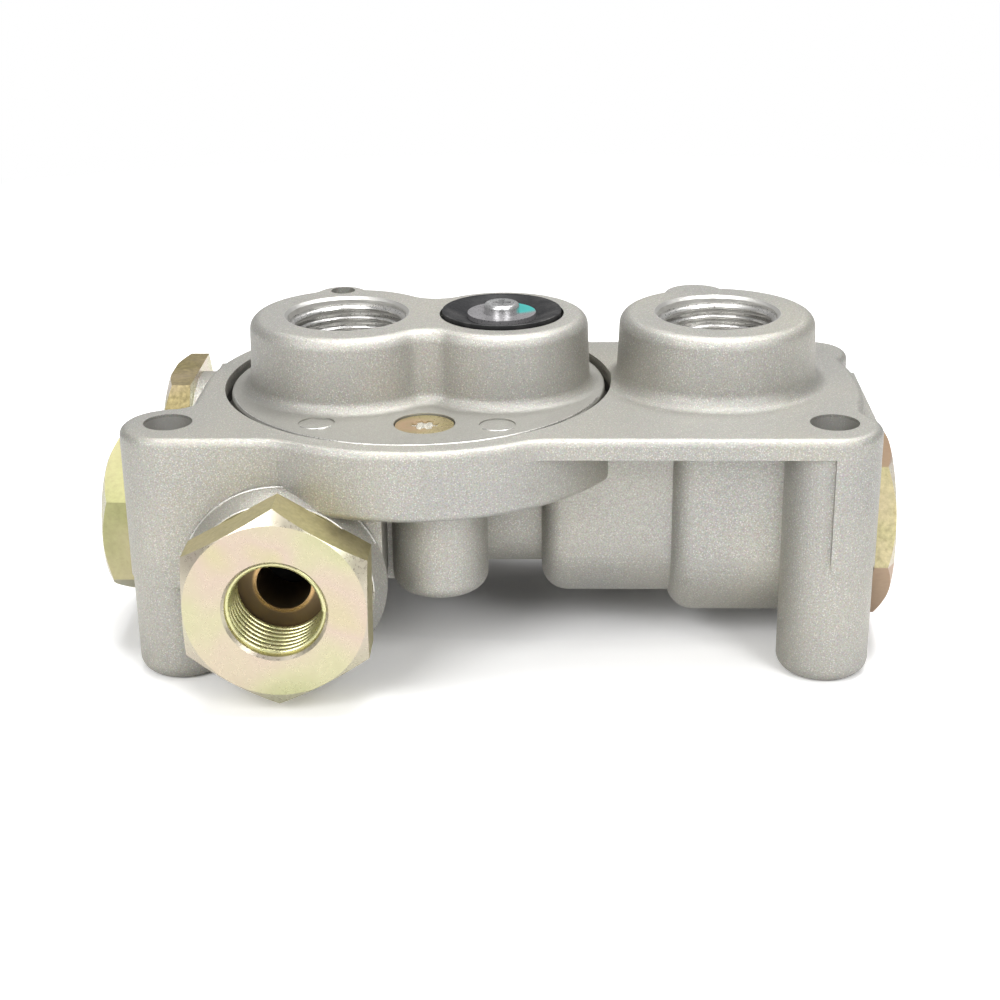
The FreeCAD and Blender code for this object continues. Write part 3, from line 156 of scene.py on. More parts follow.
# %% Group: rainbow film
def build_rainbow_film():
    tree, given, result = new_group(
        "rainbow_film",
        [("Scale", "Float", 70.0), ("Shift", "Float", 0.0), ("Scuff", "Float", 0.25), ("Gold", "Float", 0.0),
         ("Axis", "Vector", (0.0, 1.0, 0.0)), ("Flat Tone", "Color", (0.45, 0.41, 0.21, 1)),
         ("Flat Grain", "Float", 0.5)],
        [("Colour", "Color"), ("Roughness", "Float"), ("Height", "Float")])
    coordinates = add(tree, "ShaderNodeTexCoord")
    place = coordinates.outputs["Object"]
    along = add(tree, "ShaderNodeVectorMath", {0: coordinates.outputs["Normal"], 1: given.outputs["Axis"]},
                operation="DOT_PRODUCT").outputs["Value"]
    along = maths(tree, "ABSOLUTE", along)
    turned_end = ramp(tree, along, 0.93, 0.98)
    slanting = maths(tree, "SUBTRACT", ramp(tree, along, 0.35, 0.6), turned_end)
    broad = add(tree, "ShaderNodeTexNoise", {"Vector": place, "Scale": given.outputs["Scale"], "Detail": 2.0,
                                             "Distortion": 0.4}).outputs[0]
    broad = maths(tree, "ADD", broad, given.outputs["Shift"])
    film = add(tree, "ShaderNodeValToRGB", {"Fac": broad})
    colours = film.color_ramp
    stops = [(0.30, (0.44, 0.44, 0.25, 1)), (0.40, (0.51, 0.48, 0.31, 1)), (0.48, (0.53, 0.46, 0.34, 1)),
             (0.55, (0.54, 0.44, 0.355, 1)), (0.62, (0.52, 0.46, 0.30, 1)), (0.74, (0.43, 0.47, 0.27, 1))]
    while len(colours.elements) < len(stops):
        colours.elements.new(0.5)
    for element, (position, colour) in zip(colours.elements, stops):
        element.position = position
        element.color = colour
    tone = mix_colour(tree, given.outputs["Gold"], film.outputs[0], (0.46, 0.38, 0.17, 1))
    fine = add(tree, "ShaderNodeTexNoise", {"Vector": place, "Scale": 1500.0, "Detail": 3.0}).outputs[0]
    grit = add(tree, "ShaderNodeTexNoise", {"Vector": place, "Scale": 1000.0, "Detail": 4.0,
                                            "Roughness": 0.7}).outputs[0]
    drawn = mix_colour(tree, ramp(tree, grit, 0.35, 0.65), (0.72, 0.72, 0.72, 1), (1.25, 1.25, 1.25, 1))
    drawn = mix_colour(tree, given.outputs["Flat Grain"], (1, 1, 1, 1), drawn)
    drawn = mix_colour(tree, 1.0, given.outputs["Flat Tone"], drawn, "MULTIPLY")
    drawn = mix_colour(tree, ramp(tree, broad, 0.35, 0.7, 0.0, 0.35), drawn, (0.60, 0.48, 0.36, 1))
    across = maths(tree, "SUBTRACT", 1.0, ramp(tree, along, 0.35, 0.6))
    tone = mix_colour(tree, across, tone, drawn)
    tone = mix_colour(tree, maths(tree, "MULTIPLY", slanting, 0.55), tone, (0.46, 0.43, 0.36, 1))
    scuff = ramp(tree, fine, 0.55, 0.75)
    scuff = maths(tree, "MULTIPLY", scuff, given.outputs["Scuff"])
    tone = mix_colour(tree, scuff, tone, (0.30, 0.26, 0.14, 1))
    rough = maths(tree, "ADD", ramp(tree, fine, 0.3, 0.7, 0.24, 0.36), maths(tree, "MULTIPLY", scuff, 0.5))
    coarse = maths(tree, "MULTIPLY", across, given.outputs["Flat Grain"])
    rough = maths(tree, "ADD", rough, maths(tree, "MULTIPLY", coarse, 0.25))
    height = maths(tree, "ADD", fine, maths(tree, "MULTIPLY", grit, coarse))
    for label, value in (("Colour", tone), ("Roughness", rough), ("Height", height)):
        tree.links.new(value, result.inputs[label])
    return tree


rainbow_film = build_rainbow_film()
print("group", rainbow_film.name, "has", len(rainbow_film.nodes), "nodes")

# %% [markdown]
# ## Patches
# Some spots of a piece differ from the rest: a bored wall is bright, and painted shade darkens the gap round
# the cover and the inside of a bore. Each of them lies round an axis, so one group measures how far a point
# is from that axis and how far along it, and gives a mask. A material takes any number of such patches, each
# with its own tone and roughness.

# %% Group: round patch
def build_round_patch():
    tree, given, result = new_group(
        "round_patch",
        [("Centre", "Vector", (0.0, 0.0, 0.0)), ("Axis", "Vector", (0.0, 0.0, 1.0)), ("Inner", "Float", 0.0),
         ("Outer", "Float", 0.01), ("Low", "Float", -1.0), ("High", "Float", 1.0), ("Soft", "Float", 0.0001)],
        [("Mask", "Float")])
    place = add(tree, "ShaderNodeTexCoord").outputs["Object"]
    arm = add(tree, "ShaderNodeVectorMath", {0: place, 1: given.outputs["Centre"]},
              operation="SUBTRACT").outputs[0]
    along = add(tree, "ShaderNodeVectorMath", {0: arm, 1: given.outputs["Axis"]},
                operation="DOT_PRODUCT").outputs["Value"]
    lengthwise = add(tree, "ShaderNodeVectorMath", {0: given.outputs["Axis"], "Scale": along},
                     operation="SCALE").outputs[0]
    aside = add(tree, "ShaderNodeVectorMath", {0: arm, 1: lengthwise}, operation="SUBTRACT").outputs[0]
    away = add(tree, "ShaderNodeVectorMath", {0: aside}, operation="LENGTH").outputs["Value"]
    mask = None
    for value, bound, keep_above in ((away, "Inner", True), (away, "Outer", False), (along, "Low", True),
                                     (along, "High", False)):
        edge = given.outputs[bound]
        start = maths(tree, "SUBTRACT", edge, given.outputs["Soft"])
        end = maths(tree, "ADD", edge, given.outputs["Soft"])
        part = ramp(tree, value, start, end) if keep_above else ramp(tree, value, start, end, 1.0, 0.0)
        mask = part if mask is None else maths(tree, "MULTIPLY", mask, part)
    tree.links.new(mask, result.inputs["Mask"])
    return tree


round_patch = build_round_patch()

# %% [markdown]
# ## From a group to a material
# Every material has the same plan: a skin group, then its patches, then a bump, all led into one Principled
# shader. How tall the relief is depends on the skin. Sizes of patches are given in millimetres, and a patch
# is written as its place, its tone, how strong it is and its roughness.

# %% Make a material from a group
RELIEF = {"cast_skin": 0.2 * MM, "rubber_skin": 0.2 * MM, "rainbow_film": 0.05 * MM,
          "turned_steel": 0.03 * MM}


def material_from(name, group, values, metallic, bump, patches=(), gloss=0.5):
    material = bpy.data.materials.new(name)
    material.use_nodes = True
    tree = material.node_tree
    shader = tree.nodes["Principled BSDF"]
    shader.inputs["Metallic"].default_value = metallic
    shader.inputs["Specular IOR Level"].default_value = gloss
    skin = add(tree, "ShaderNodeGroup", node_tree=group)
    for label, value in values.items():
        skin.inputs[label].default_value = value
    colour, rough = skin.outputs["Colour"], skin.outputs["Roughness"]
    for spot, tone, amount, roughness in patches:
        patch = add(tree, "ShaderNodeGroup", node_tree=round_patch)
        for label, value in spot.items():
            patch.inputs[label].default_value = [part * MM for part in value] if label == "Centre" else (
                value if label == "Axis" else value * MM)
        mask = maths(tree, "MULTIPLY", patch.outputs["Mask"], amount)
        colour = mix_colour(tree, mask, colour, tone)
        rough = add(tree, "ShaderNodeMix", {"Factor": mask, "A": rough, "B": roughness}).outputs[0]
    relief = add(tree, "ShaderNodeBump", {"Height": skin.outputs["Height"], "Strength": bump,
                                          "Distance": RELIEF[group.name]})
    tree.links.new(colour, shader.inputs["Base Color"])
    tree.links.new(rough, shader.inputs["Roughness"])
    tree.links.new(relief.outputs[0], shader.inputs["Normal"])
    return material


# %% Where the bores and axes are, in millimetres, and tones that come back
SERVICE_AXIS = (-27.5, 23.2, 0.0)
EXHAUST_AXIS = (-0.2, 23.2, 0.0)
DELIVERY_AXIS = (37.6, 23.6, 0.0)
RING_AXIS = (-15.1, 23.0, 0.0)
FRONT_AXIS = (-36.0, 0.0, 19.7)
SCREW_AXES = ((-12.6, 1.2, 0.0), (-12.6, 44.8, 0.0))
HOLE_LEFT = {"Centre": (-55.6, 0.2, 0.0), "Outer": 4.7, "Low": 5.0, "High": 44.3}
HOLE_RIGHT = {"Centre": (55.5, -0.2, 0.0), "Outer": 4.7, "Low": 5.0, "High": 44.3}
PORT_RADIUS, PORT_FLOOR_Z = 11.1, 44.0
CAP_TOP_FACET = {"Outer": 200.0, "Low": 34.4, "High": 60.0, "Soft": 0.15}
CAP_LOW_FACET = {"Outer": 200.0, "Low": -10.0, "High": 18.3, "Soft": 0.15}
BORED = (0.66, 0.65, 0.62, 1)
# Painted shade: near black for the gap round the cover.
PAINTED_GAP_SHADE = (0.035, 0.033, 0.03, 1)
COPPERY = (0.36, 0.24, 0.165, 1)
# Painted shade: dark brown for the inside of the front fitting's bore.
PAINTED_BORE_SHADE = (0.20, 0.14, 0.075, 1)
print("patch group", round_patch.name, "has", len(round_patch.nodes), "nodes")

# %% The metals
housing_metal = material_from(
    "housing_metal", cast_skin, {"Fleck": 0.42, "Stain": 0.22}, 0.85, 0.45,
    patches=[(HOLE_LEFT, BORED, 0.6, 0.35), (HOLE_RIGHT, BORED, 0.4, 0.35),
             ({"Centre": DELIVERY_AXIS, "Outer": PORT_RADIUS, "Low": PORT_FLOOR_Z}, BORED, 0.9, 0.3),
             # Painted shade: the gap between the cover and the housing is painted near black.
             ({"Centre": RING_AXIS, "Inner": 33.2, "Outer": 34.6, "Low": 39.0, "High": 42.4, "Soft": 0.4},
              PAINTED_GAP_SHADE, 0.9, 0.7)])
cover_metal = material_from(
    "cover_metal", cast_skin, {"Cool Tone": (0.41, 0.402, 0.375, 1), "Warm Tone": (0.46, 0.445, 0.40, 1),
                               "Stain": 0.12}, 0.85, 0.45,
    patches=[({"Centre": SERVICE_AXIS, "Outer": PORT_RADIUS, "Low": PORT_FLOOR_Z}, BORED, 0.9, 0.3),
             ({"Centre": EXHAUST_AXIS, "Outer": 10.95, "Low": 46.0, "High": 57.3, "Soft": 0.04},
              BORED, 1.0, 0.2),
             # Painted shade: the top face of the cover's disc is painted darker than the rest of the cover.
             ({"Centre": RING_AXIS, "Outer": 33.4, "Low": 43.0, "High": 44.6, "Soft": 0.3},
              (0.32, 0.315, 0.29, 1), 0.6, 0.5)])
front_zinc = material_from(
    "front_zinc", rainbow_film, {"Scale": 45.0, "Scuff": 0.015}, 0.85, 0.06,
    # Painted shade: the inside of the front fitting's bore is painted dark brown.
    patches=[({"Centre": FRONT_AXIS, "Axis": (0, 1, 0), "Outer": 8.6, "Low": -10.3, "High": 30.0,
               "Soft": 0.3}, PAINTED_BORE_SHADE, 0.95, 0.4),
             # Painted highlight: a thin orange ring of light on the shoulder inside the bore.
             ({"Centre": FRONT_AXIS, "Axis": (0, 1, 0), "Inner": 4.6, "Outer": 5.25, "Low": -10.4,
               "High": -9.6, "Soft": 0.2}, (0.62, 0.40, 0.18, 1), 0.9, 0.2)])
side_zinc = material_from(
    "side_zinc", rainbow_film, {"Scale": 60.0, "Scuff": 0.12, "Axis": (1, 0, 0),
                                "Flat Tone": (0.325, 0.32, 0.155, 1), "Flat Grain": 0.3}, 0.85, 0.08)
rear_zinc = material_from(
    "rear_zinc", rainbow_film, {"Scale": 90.0, "Scuff": 0.3, "Axis": (1, 0, 0),
                                "Flat Tone": (0.27, 0.225, 0.11, 1), "Flat Grain": 0.9}, 0.85, 0.15)
thread_zinc = material_from(
    "thread_zinc", rainbow_film, {"Scale": 420.0, "Scuff": 0.1, "Axis": (0, 0, 0),
                                  "Flat Tone": (0.62, 0.62, 0.32, 1), "Flat Grain": 0.0}, 0.85, 0.05)
cap_zinc = material_from(
    "cap_zinc", rainbow_film, {"Scale": 150.0, "Shift": 0.05, "Scuff": 0.2, "Axis": (1, 0, 0),
                               "Flat Tone": (0.47, 0.43, 0.235, 1), "Flat Grain": 0.8}, 0.85, 0.18,
    patches=[(CAP_TOP_FACET, COPPERY, 0.85, 0.4), (CAP_LOW_FACET, COPPERY, 0.85, 0.4)])
screw_zinc = material_from(
    "screw_zinc", rainbow_film, {"Scale": 110.0, "Scuff": 0.25, "Gold": 0.75, "Axis": (0, 0, 1)}, 0.85, 0.15,
    patches=[({"Centre": (-14.8, 1.2, 0.0), "Outer": 3.2, "Soft": 1.5}, (0.60, 0.40, 0.27, 1), 0.7, 0.35)] + [
        ({"Centre": axis, "Outer": 2.6, "High": 43.6, "Soft": 0.05}, (0.95, 0.94, 0.90, 1), 1.0, 0.2)
        for axis in SCREW_AXES])
print("materials", len(bpy.data.materials))

# %% [markdown]
# ## Rubber and bright steel
# The flap and the seals are black nitrile rubber: a dull, dark skin with a little dust on it. The washer and
# the pan screw are bright steel, with a fine grain and a soft cloud. The washer still has a dab of paint.

# %% Group: rubber skin
def build_rubber_skin():
    tree, given, result = new_group(
        "rubber_skin", [("Dust", "Float", 0.3), ("Grain Scale", "Float", 1800.0)],
        [("Colour", "Color"), ("Roughness", "Float"), ("Height", "Float")])
    place = add(tree, "ShaderNodeTexCoord").outputs["Object"]
    fine = add(tree, "ShaderNodeTexNoise", {"Vector": place, "Scale": given.outputs["Grain Scale"],
                                            "Detail": 3.0}).outputs[0]
    cloud = add(tree, "ShaderNodeTexNoise", {"Vector": place, "Scale": 240.0, "Detail": 4.0}).outputs[0]
    dust = maths(tree, "MULTIPLY", ramp(tree, cloud, 0.45, 0.75), given.outputs["Dust"])
    tone = mix_colour(tree, dust, (0.012, 0.012, 0.013, 1), (0.13, 0.125, 0.12, 1))
    rough = ramp(tree, fine, 0.3, 0.7, 0.42, 0.60)
    for label, value in (("Colour", tone), ("Roughness", rough), ("Height", fine)):
        tree.links.new(value, result.inputs[label])
    return tree


rubber_skin = build_rubber_skin()
black_rubber = material_from("black_rubber", rubber_skin, {"Dust": 0.25}, 0.0, 0.25, gloss=0.25)
seal_rubber = material_from("seal_rubber", rubber_skin, {"Dust": 0.1}, 0.0, 0.15)


# %% Group: turned steel
def build_turned_steel():
    tree, given, result = new_group(
        "turned_steel", [("Tone", "Color", (0.55, 0.55, 0.56, 1)), ("Scale", "Float", 3000.0)],
        [("Colour", "Color"), ("Roughness", "Float"), ("Height", "Float")])
    place = add(tree, "ShaderNodeTexCoord").outputs["Object"]
    fine = add(tree, "ShaderNodeTexNoise", {"Vector": place, "Scale": given.outputs["Scale"],
                                            "Detail": 2.0}).outputs[0]
    cloud = add(tree, "ShaderNodeTexNoise", {"Vector": place, "Scale": 260.0, "Detail": 3.0}).outputs[0]
    shade = mix_colour(tree, ramp(tree, cloud, 0.35, 0.7), (0.82, 0.82, 0.82, 1), (1.1, 1.1, 1.1, 1))
    tone = mix_colour(tree, 1.0, given.outputs["Tone"], shade, "MULTIPLY")
    rough = ramp(tree, fine, 0.3, 0.7, 0.24, 0.40)
    for label, value in (("Colour", tone), ("Roughness", rough), ("Height", fine)):
        tree.links.new(value, result.inputs[label])
    return tree


turned_steel = build_turned_steel()
washer_steel = material_from(
    "washer_steel", turned_steel, {"Tone": (0.36, 0.35, 0.36, 1)}, 0.7, 0.1,
    patches=[({"Centre": (2.4, 26.4, 0.0), "Outer": 4.1, "Soft": 0.7}, (0.05, 0.62, 0.58, 1), 0.95, 0.3)])
bright_steel = material_from("bright_steel", turned_steel, {"Tone": (0.72, 0.72, 0.72, 1)}, 1.0, 0.15)
machined_aluminium = material_from("machined_aluminium", turned_steel, {"Tone": (0.74, 0.73, 0.71, 1)},
                                   1.0, 0.2)
# Partly wear, partly painted highlight: the raised edges get a tone paler than the casting, for the bright
# lines of light on them.
wear_and_painted_highlight = material_from("wear_and_painted_highlight", turned_steel, {"Tone": (0.66, 0.65, 0.62, 1)}, 0.9, 0.15)
# Dust and painted sheen: the flap's lip gets the dust tone at 0.9, a grey line that stands in for light on
# the lip.
rubber_dust_and_painted_sheen = material_from("rubber_dust_and_painted_sheen", rubber_skin, {"Dust": 0.9}, 0.0, 0.1, gloss=0.7)
dark_plastic = material_from("dark_plastic", rubber_skin, {"Dust": 0.05}, 0.0, 0.1, gloss=0.2)

# %% Give every CAD node its finish
FINISHES = {
    housing_metal: ["housing"], cover_metal: ["cover"],
    front_zinc: ["front_adapter"], side_zinc: ["left_adapter"], rear_zinc: ["supply_adapter"],
    cap_zinc: ["end_cap"],
    screw_zinc: ["cover_screw_front", "cover_screw_back"], black_rubber: ["exhaust_flap"],
    washer_steel: ["flap_washer"], bright_steel: ["flap_screw", "plunger_spring"],
    machined_aluminium: ["plunger"], dark_plastic: ["shuttle"],
}
for finish, names in FINISHES.items():
    for name in names:
        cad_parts[name].data.materials.clear()
        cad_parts[name].data.materials.append(finish)
finished_names = {name for names in FINISHES.values() for name in names}
for name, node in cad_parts.items():
    if name not in finished_names:
        node.data.materials.clear()
        node.data.materials.append(seal_rubber)
print("rubber seals:", sorted(set(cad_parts) - finished_names))

# %% [markdown]
# ## Threads
# Each port is tapped with a pipe thread: one ridge that winds up the wall. A Geometry Nodes tree can make
# every one of them: a spiral curve with a small trapezium swept along it. The tree has the radius, the
# pitch and the ridge height as named inputs, so five ports share one tree.

# %% Thread tree
def build_thread_tree():
    tree = bpy.data.node_groups.new("thread_ridge", "GeometryNodeTree")
    sockets = (("Wall Radius", "Float", 0.010), ("Pitch", "Float", 0.0018), ("Length", "Float", 0.010),
               ("Ridge Height", "Float", 0.0009), ("Crest Width", "Float", 0.0003), ("Sink", "Float", 0.0001),
               ("Steps", "Int", 96), ("Turn", "Vector", (0, 0, 0)), ("Place", "Vector", (0, 0, 0)),
               ("Finish", "Material", None))
    for label, kind, value in sockets:
        socket = tree.interface.new_socket(label, in_out="INPUT", socket_type="NodeSocket" + kind)
        if value is not None:
            socket.default_value = value
    tree.interface.new_socket("Geometry", in_out="OUTPUT", socket_type="NodeSocketGeometry")
    given = add(tree, "NodeGroupInput")
    turns = maths(tree, "DIVIDE", given.outputs["Length"], given.outputs["Pitch"])
    path_radius = maths(tree, "ADD", given.outputs["Wall Radius"], given.outputs["Sink"])
    spiral = add(tree, "GeometryNodeCurveSpiral", {"Resolution": given.outputs["Steps"], "Rotations": turns,
                                                   "Start Radius": path_radius, "End Radius": path_radius,
                                                   "Height": given.outputs["Length"]})
    upright = add(tree, "GeometryNodeSetCurveNormal", {"Curve": spiral.outputs[0]}, mode="Z_UP")
    tall = maths(tree, "ADD", given.outputs["Ridge Height"], given.outputs["Sink"])
    wide = maths(tree, "MULTIPLY", given.outputs["Pitch"], FOOT_SHARE)
    section = add(tree, "GeometryNodeCurvePrimitiveQuadrilateral",
                  {"Bottom Width": wide, "Top Width": given.outputs["Crest Width"], "Height": tall,
                   "Offset": 0.0}, mode="TRAPEZOID")
    half = maths(tree, "MULTIPLY", tall, 0.5)
    middle = add(tree, "ShaderNodeCombineXYZ", {"Y": half})
    section = add(tree, "GeometryNodeTransform", {"Geometry": section.outputs[0],
                                                  "Translation": middle.outputs[0]})
    section = add(tree, "GeometryNodeTransform", {"Geometry": section.outputs[0],
                                                  "Rotation": (0, 0, math.radians(PROFILE_TURN))})
    ridge = add(tree, "GeometryNodeCurveToMesh", {"Curve": upright.outputs[0],
                                                  "Profile Curve": section.outputs[0], "Fill Caps": True})
    moved = add(tree, "GeometryNodeTransform", {"Geometry": ridge.outputs[0],
                                                "Rotation": given.outputs["Turn"],
                                                "Translation": given.outputs["Place"]})
    real = add(tree, "GeometryNodeRealizeInstances", {"Geometry": moved.outputs[0]})
    painted = add(tree, "GeometryNodeSetMaterial", {"Geometry": real.outputs[0],
                                                    "Material": given.outputs["Finish"]})
    result = add(tree, "NodeGroupOutput")
    tree.links.new(painted.outputs[0], result.inputs["Geometry"])
    return tree


FOOT_SHARE = 0.92  # how much of the pitch a ridge's foot takes
PROFILE_TURN = -90.0  # turns the section so that its crest points to the port's middle
thread_tree = build_thread_tree()


# %% Turn one tree into a plain mesh
def plain_piece(name, tree, values, body):
    carrier = bpy.data.objects.new(name, bpy.data.meshes.new(name))
    bpy.context.scene.collection.objects.link(carrier)
    modifier = carrier.modifiers.new(name, "NODES")
    modifier.node_group = tree
    identifiers = {item.name: item.identifier for item in tree.interface.items_tree if item.in_out == "INPUT"}
    for label, value in values.items():
        modifier[identifiers[label]] = value
    bpy.context.view_layer.update()
    evaluated = carrier.evaluated_get(bpy.context.evaluated_depsgraph_get())
    mesh = bpy.data.meshes.new_from_object(evaluated)
    carrier.modifiers.clear()
    carrier.data = mesh
    mesh.name = name
    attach(carrier, body)
    print(name, len(mesh.polygons), "faces")
    return carrier


# %% Five ports: name, thread, foot in mm, turn in degrees, length in mm, finish, slot
HALF_INCH = {"Wall Radius": 10.45 * MM, "Pitch": 1.814 * MM, "Ridge Height": 0.95 * MM,
             "Crest Width": 0.35 * MM}
FRONT_THREAD = {"Wall Radius": 8.3 * MM, "Pitch": 1.411 * MM, "Ridge Height": 0.7 * MM,
                "Crest Width": 0.25 * MM}
LEFT_THREAD = dict(FRONT_THREAD, **{"Wall Radius": 6.6 * MM})
PORTS = (
    ("thread_service_delivery", HALF_INCH, (-27.5, 23.2, 44.6), (0, 0, 0), 11.2, machined_aluminium,
     "cover_cast"),
    ("thread_supply_delivery", HALF_INCH, (37.6, 23.6, 44.6), (0, 0, 0), 11.2, machined_aluminium,
     "housing_cast"),
    ("thread_supply_inlet", HALF_INCH, (-64.2, 51.0, 20.3), (0, 90, 0), 10.0, thread_zinc, "fitting_zinc"),
    ("thread_front_service", FRONT_THREAD, (-36.0, -20.3, 19.7), (-90, 0, 0), 9.8, thread_zinc,
     "fitting_zinc"),
    ("thread_left_service", LEFT_THREAD, (-69.3, 17.5, 21.0), (0, 90, 0), 9.8, thread_zinc, "fitting_zinc"),
)
for name, thread, foot, turn, length, finish, slot in PORTS:
    values = dict(thread, Length=length * MM, Turn=[math.radians(angle) for angle in turn],
                  Place=[value * MM for value in foot], Finish=finish)
    plain_piece(name, thread_tree, values, "valve_body")

# %% [markdown]
# ## Cast edges
# A die leaves thin raised lines: round the rim of the cover, half round each ejector pin's mark and at the
# two steps of the front boss. The flap's lip is one too. They catch the light, and a paler tone on them is
# partly wear and dust, partly a painted highlight. Each is an arc with a small round section swept along it.

# %% Edge tree
def build_edge_tree():
    tree = bpy.data.node_groups.new("cast_edge", "GeometryNodeTree")
    sockets = (("Radius", "Float", 0.01), ("Start", "Float", 0.0), ("Sweep", "Float", 3.14),
               ("Bead", "Float", 0.0002), ("Steps", "Int", 64), ("Turn", "Vector", (0, 0, 0)),
               ("Place", "Vector", (0, 0, 0)), ("Finish", "Material", None))
    for label, kind, value in sockets:
        socket = tree.interface.new_socket(label, in_out="INPUT", socket_type="NodeSocket" + kind)
        if value is not None:
            socket.default_value = value
    tree.interface.new_socket("Geometry", in_out="OUTPUT", socket_type="NodeSocketGeometry")
    given = add(tree, "NodeGroupInput")
    arc = add(tree, "GeometryNodeCurveArc", {"Resolution": given.outputs["Steps"],
                                             "Radius": given.outputs["Radius"],
                                             "Start Angle": given.outputs["Start"],
                                             "Sweep Angle": given.outputs["Sweep"]})
    section = add(tree, "GeometryNodeCurvePrimitiveCircle", {"Resolution": 8,
                                                             "Radius": given.outputs["Bead"]})
    bead = add(tree, "GeometryNodeCurveToMesh", {"Curve": arc.outputs[0], "Profile Curve": section.outputs[0],
                                                 "Fill Caps": True})
    moved = add(tree, "GeometryNodeTransform", {"Geometry": bead.outputs[0],
                                                "Rotation": given.outputs["Turn"],
                                                "Translation": given.outputs["Place"]})
    real = add(tree, "GeometryNodeRealizeInstances", {"Geometry": moved.outputs[0]})
    painted = add(tree, "GeometryNodeSetMaterial", {"Geometry": real.outputs[0],
                                                    "Material": given.outputs["Finish"]})
    result = add(tree, "NodeGroupOutput")
    tree.links.new(painted.outputs[0], result.inputs["Geometry"])
    return tree


edge_tree = build_edge_tree()

# %% Six edges: name, centre and radius in mm, start and sweep in degrees, bead in mm, turn, finish, slot
EDGES = (
    ("edge_cover_rim", (-15.1, 23.0, 44.2), 32.7, 195, 150, 0.2, 0, wear_and_painted_highlight, "cover_cast"),
    ("edge_pin_mark_left", (-30.7, 1.4, 44.2), 3.1, 215, 110, 0.16, 0, wear_and_painted_highlight, "cover_cast"),
    ("edge_pin_mark_right", (-0.25, 0.5, 44.2), 3.1, 215, 110, 0.16, 0, wear_and_painted_highlight, "cover_cast"),
    ("edge_boss_foot", (-36.0, -9.4, 19.7), 17.15, 25, 130, 0.22, 90, wear_and_painted_highlight, "housing_cast"),
    ("edge_boss_tip", (-36.0, -12.8, 19.7), 15.35, 0, 180, 0.2, 90, wear_and_painted_highlight, "housing_cast"),
    ("edge_flap", (-0.2, 23.2, 57.6), 10.3, 205, 130, 0.1, 0, rubber_dust_and_painted_sheen, "black_rubber"),
)
for name, place, radius, start, sweep, bead, turn, finish, slot in EDGES:
    values = {"Radius": radius * MM, "Start": math.radians(start), "Sweep": math.radians(sweep),
              "Bead": bead * MM, "Turn": [math.radians(turn), 0.0, 0.0],
              "Place": [value * MM for value in place], "Finish": finish}
    plain_piece(name, edge_tree, values, "valve_body")

# %% [markdown]
# ## A copy of the spring
# When air pushes the plunger to the right, the coil spring behind it shortens, while its other end stays in
# the cap. A rigid coil would be cut through, so a copy of it, with its loose triangles merged, takes its
# place.

# %% Spring
spring_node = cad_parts["plunger_spring"]
spring_mesh = spring_node.data.copy()
shell = bmesh.new()
shell.from_mesh(spring_mesh)
bmesh.ops.remove_doubles(shell, verts=shell.verts, dist=0.000001)
bmesh.ops.recalc_face_normals(shell, faces=shell.faces)
shell.to_mesh(spring_mesh)
shell.free()
spring_mesh.name = "coil_spring"
coil_spring = bpy.data.objects.new("coil_spring", spring_mesh)
bpy.context.scene.collection.objects.link(coil_spring)
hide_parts("plunger_spring")
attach(coil_spring, "valve_body")
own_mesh(coil_spring)

# %% [markdown]
# ## Floor, light and camera
# The object stands on a white cloth under soft, even light. A pale floor and a white world give the metal
# something bright to mirror. The camera sees the cloth a little whiter than the metal does, and it fades to
# plain white away from the object, so the background is white while the shadow under the housing stays. The
# patch right under the housing is a painted shadow: an oval that only the camera sees in a deeper grey.

# %% Floor
floor_mesh = bpy.data.meshes.new("floor")
reach = 6.0
floor_mesh.from_pydata([(-reach, -reach, 0), (reach, -reach, 0), (reach, reach, 0), (-reach, reach, 0)], [],
                       [(0, 1, 2, 3)])
floor = bpy.data.objects.new("floor", floor_mesh)
bpy.context.scene.collection.objects.link(floor)
floor_material = bpy.data.materials.new("white_cloth")
floor_material.use_nodes = True
tree = floor_material.node_tree
tree.nodes.remove(tree.nodes["Principled BSDF"])
ray = add(tree, "ShaderNodeLightPath")
place = add(tree, "ShaderNodeTexCoord").outputs["Object"]
# Painted shadow: an oval under the housing that the camera sees darker than the lamps leave the floor.
painted_shadow = add(tree, "ShaderNodeMapping", {"Vector": place, "Location": (-0.04, -0.67, 0),
                                        "Scale": (7.5, 20.8, 0)})
painted_shadow = add(tree, "ShaderNodeVectorMath", {0: painted_shadow.outputs[0]}, operation="LENGTH").outputs["Value"]
painted_shadow = mix_colour(tree, ramp(tree, painted_shadow, 0.1, 0.6), (0.44, 0.44, 0.45, 1), (1.15, 1.15, 1.155, 1))
shade = mix_colour(tree, ray.outputs["Is Camera Ray"], (0.80, 0.80, 0.80, 1), painted_shadow)
cloth = add(tree, "ShaderNodeBsdfDiffuse", {"Color": shade})
white = add(tree, "ShaderNodeEmission", {"Color": (1, 1, 1, 1), "Strength": 1.0})
away = add(tree, "ShaderNodeVectorMath", {0: place}, operation="LENGTH").outputs["Value"]
seen = maths(tree, "MULTIPLY", ray.outputs["Is Camera Ray"], ramp(tree, away, 0.12, 0.45))
both = add(tree, "ShaderNodeMixShader", {0: seen, 1: cloth.outputs[0], 2: white.outputs[0]})
tree.links.new(both.outputs[0], tree.nodes["Material Output"].inputs["Surface"])
floor_mesh.materials.append(floor_material)

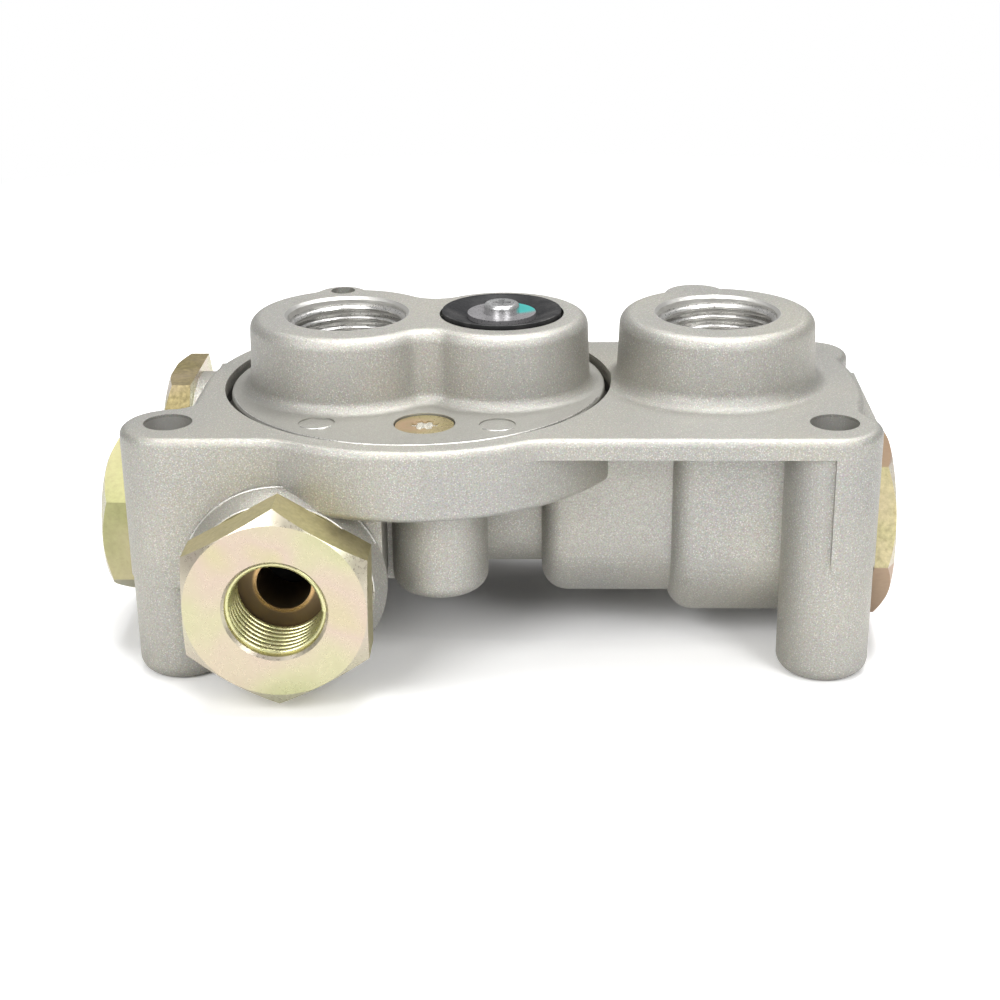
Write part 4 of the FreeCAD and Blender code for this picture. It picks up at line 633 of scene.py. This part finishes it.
# %% World
world = bpy.data.worlds.new("studio")
bpy.context.scene.world = world
world.use_nodes = True
tree = world.node_tree
sky = tree.nodes["Background"]
sky.inputs["Color"].default_value = (1, 1, 1, 1)
sky.inputs["Strength"].default_value = 0.38
backdrop = add(tree, "ShaderNodeBackground", {"Color": (1, 1, 1, 1), "Strength": 1.0})
ray = add(tree, "ShaderNodeLightPath")
seen = maths(tree, "MAXIMUM", ray.outputs["Is Camera Ray"], ray.outputs["Is Transmission Ray"])
both = add(tree, "ShaderNodeMixShader", {0: seen, 1: sky.outputs[0], 2: backdrop.outputs[0]})
tree.links.new(both.outputs[0], tree.nodes["World Output"].inputs["Surface"])


# %% Lamps
def soft_lamp(name, place, aim, width, watts):
    lamp = bpy.data.lights.new(name, "AREA")
    lamp.shape = "SQUARE"
    lamp.size = width
    lamp.energy = watts
    holder = bpy.data.objects.new(name, lamp)
    bpy.context.scene.collection.objects.link(holder)
    holder.location = Vector(place)
    holder.rotation_euler = (Vector(aim) - Vector(place)).to_track_quat("-Z", "Y").to_euler()
    return holder


soft_lamp("lamp_above", (0.08, 0.10, 0.75), (0, 0.02, 0.03), 0.45, 7.2)
soft_lamp("lamp_front_left", (-0.45, -0.75, 0.62), (0, 0.02, 0.03), 0.45, 6.2)
soft_lamp("lamp_front_right", (0.55, -0.72, 0.58), (0, 0.02, 0.03), 0.45, 5.2)

# %% Camera
YAW, PITCH, ROLL = math.radians(-2.05), math.radians(21.90), math.radians(0.66)
camera_data = bpy.data.cameras.new("camera")
camera_data.lens = 66.046
camera_data.sensor_width = 36.0
camera_data.clip_start = 0.01
camera = bpy.data.objects.new("camera", camera_data)
bpy.context.scene.collection.objects.link(camera)
forward = Vector((math.sin(YAW) * math.cos(PITCH), math.cos(YAW) * math.cos(PITCH), -math.sin(PITCH)))
level = Vector((math.cos(YAW), -math.sin(YAW), 0))
down = forward.cross(level)
right = math.cos(ROLL) * level + math.sin(ROLL) * down
down = math.cos(ROLL) * down - math.sin(ROLL) * level
turned = Matrix((right, -down, -forward)).transposed().to_4x4()
camera.matrix_world = Matrix.Translation(Vector((10.26, -287.92, 146.68)) * MM) @ turned
bpy.context.scene.camera = camera
bpy.context.scene.view_settings.view_transform = "Standard"
print("camera at", [round(value, 3) for value in camera.location])
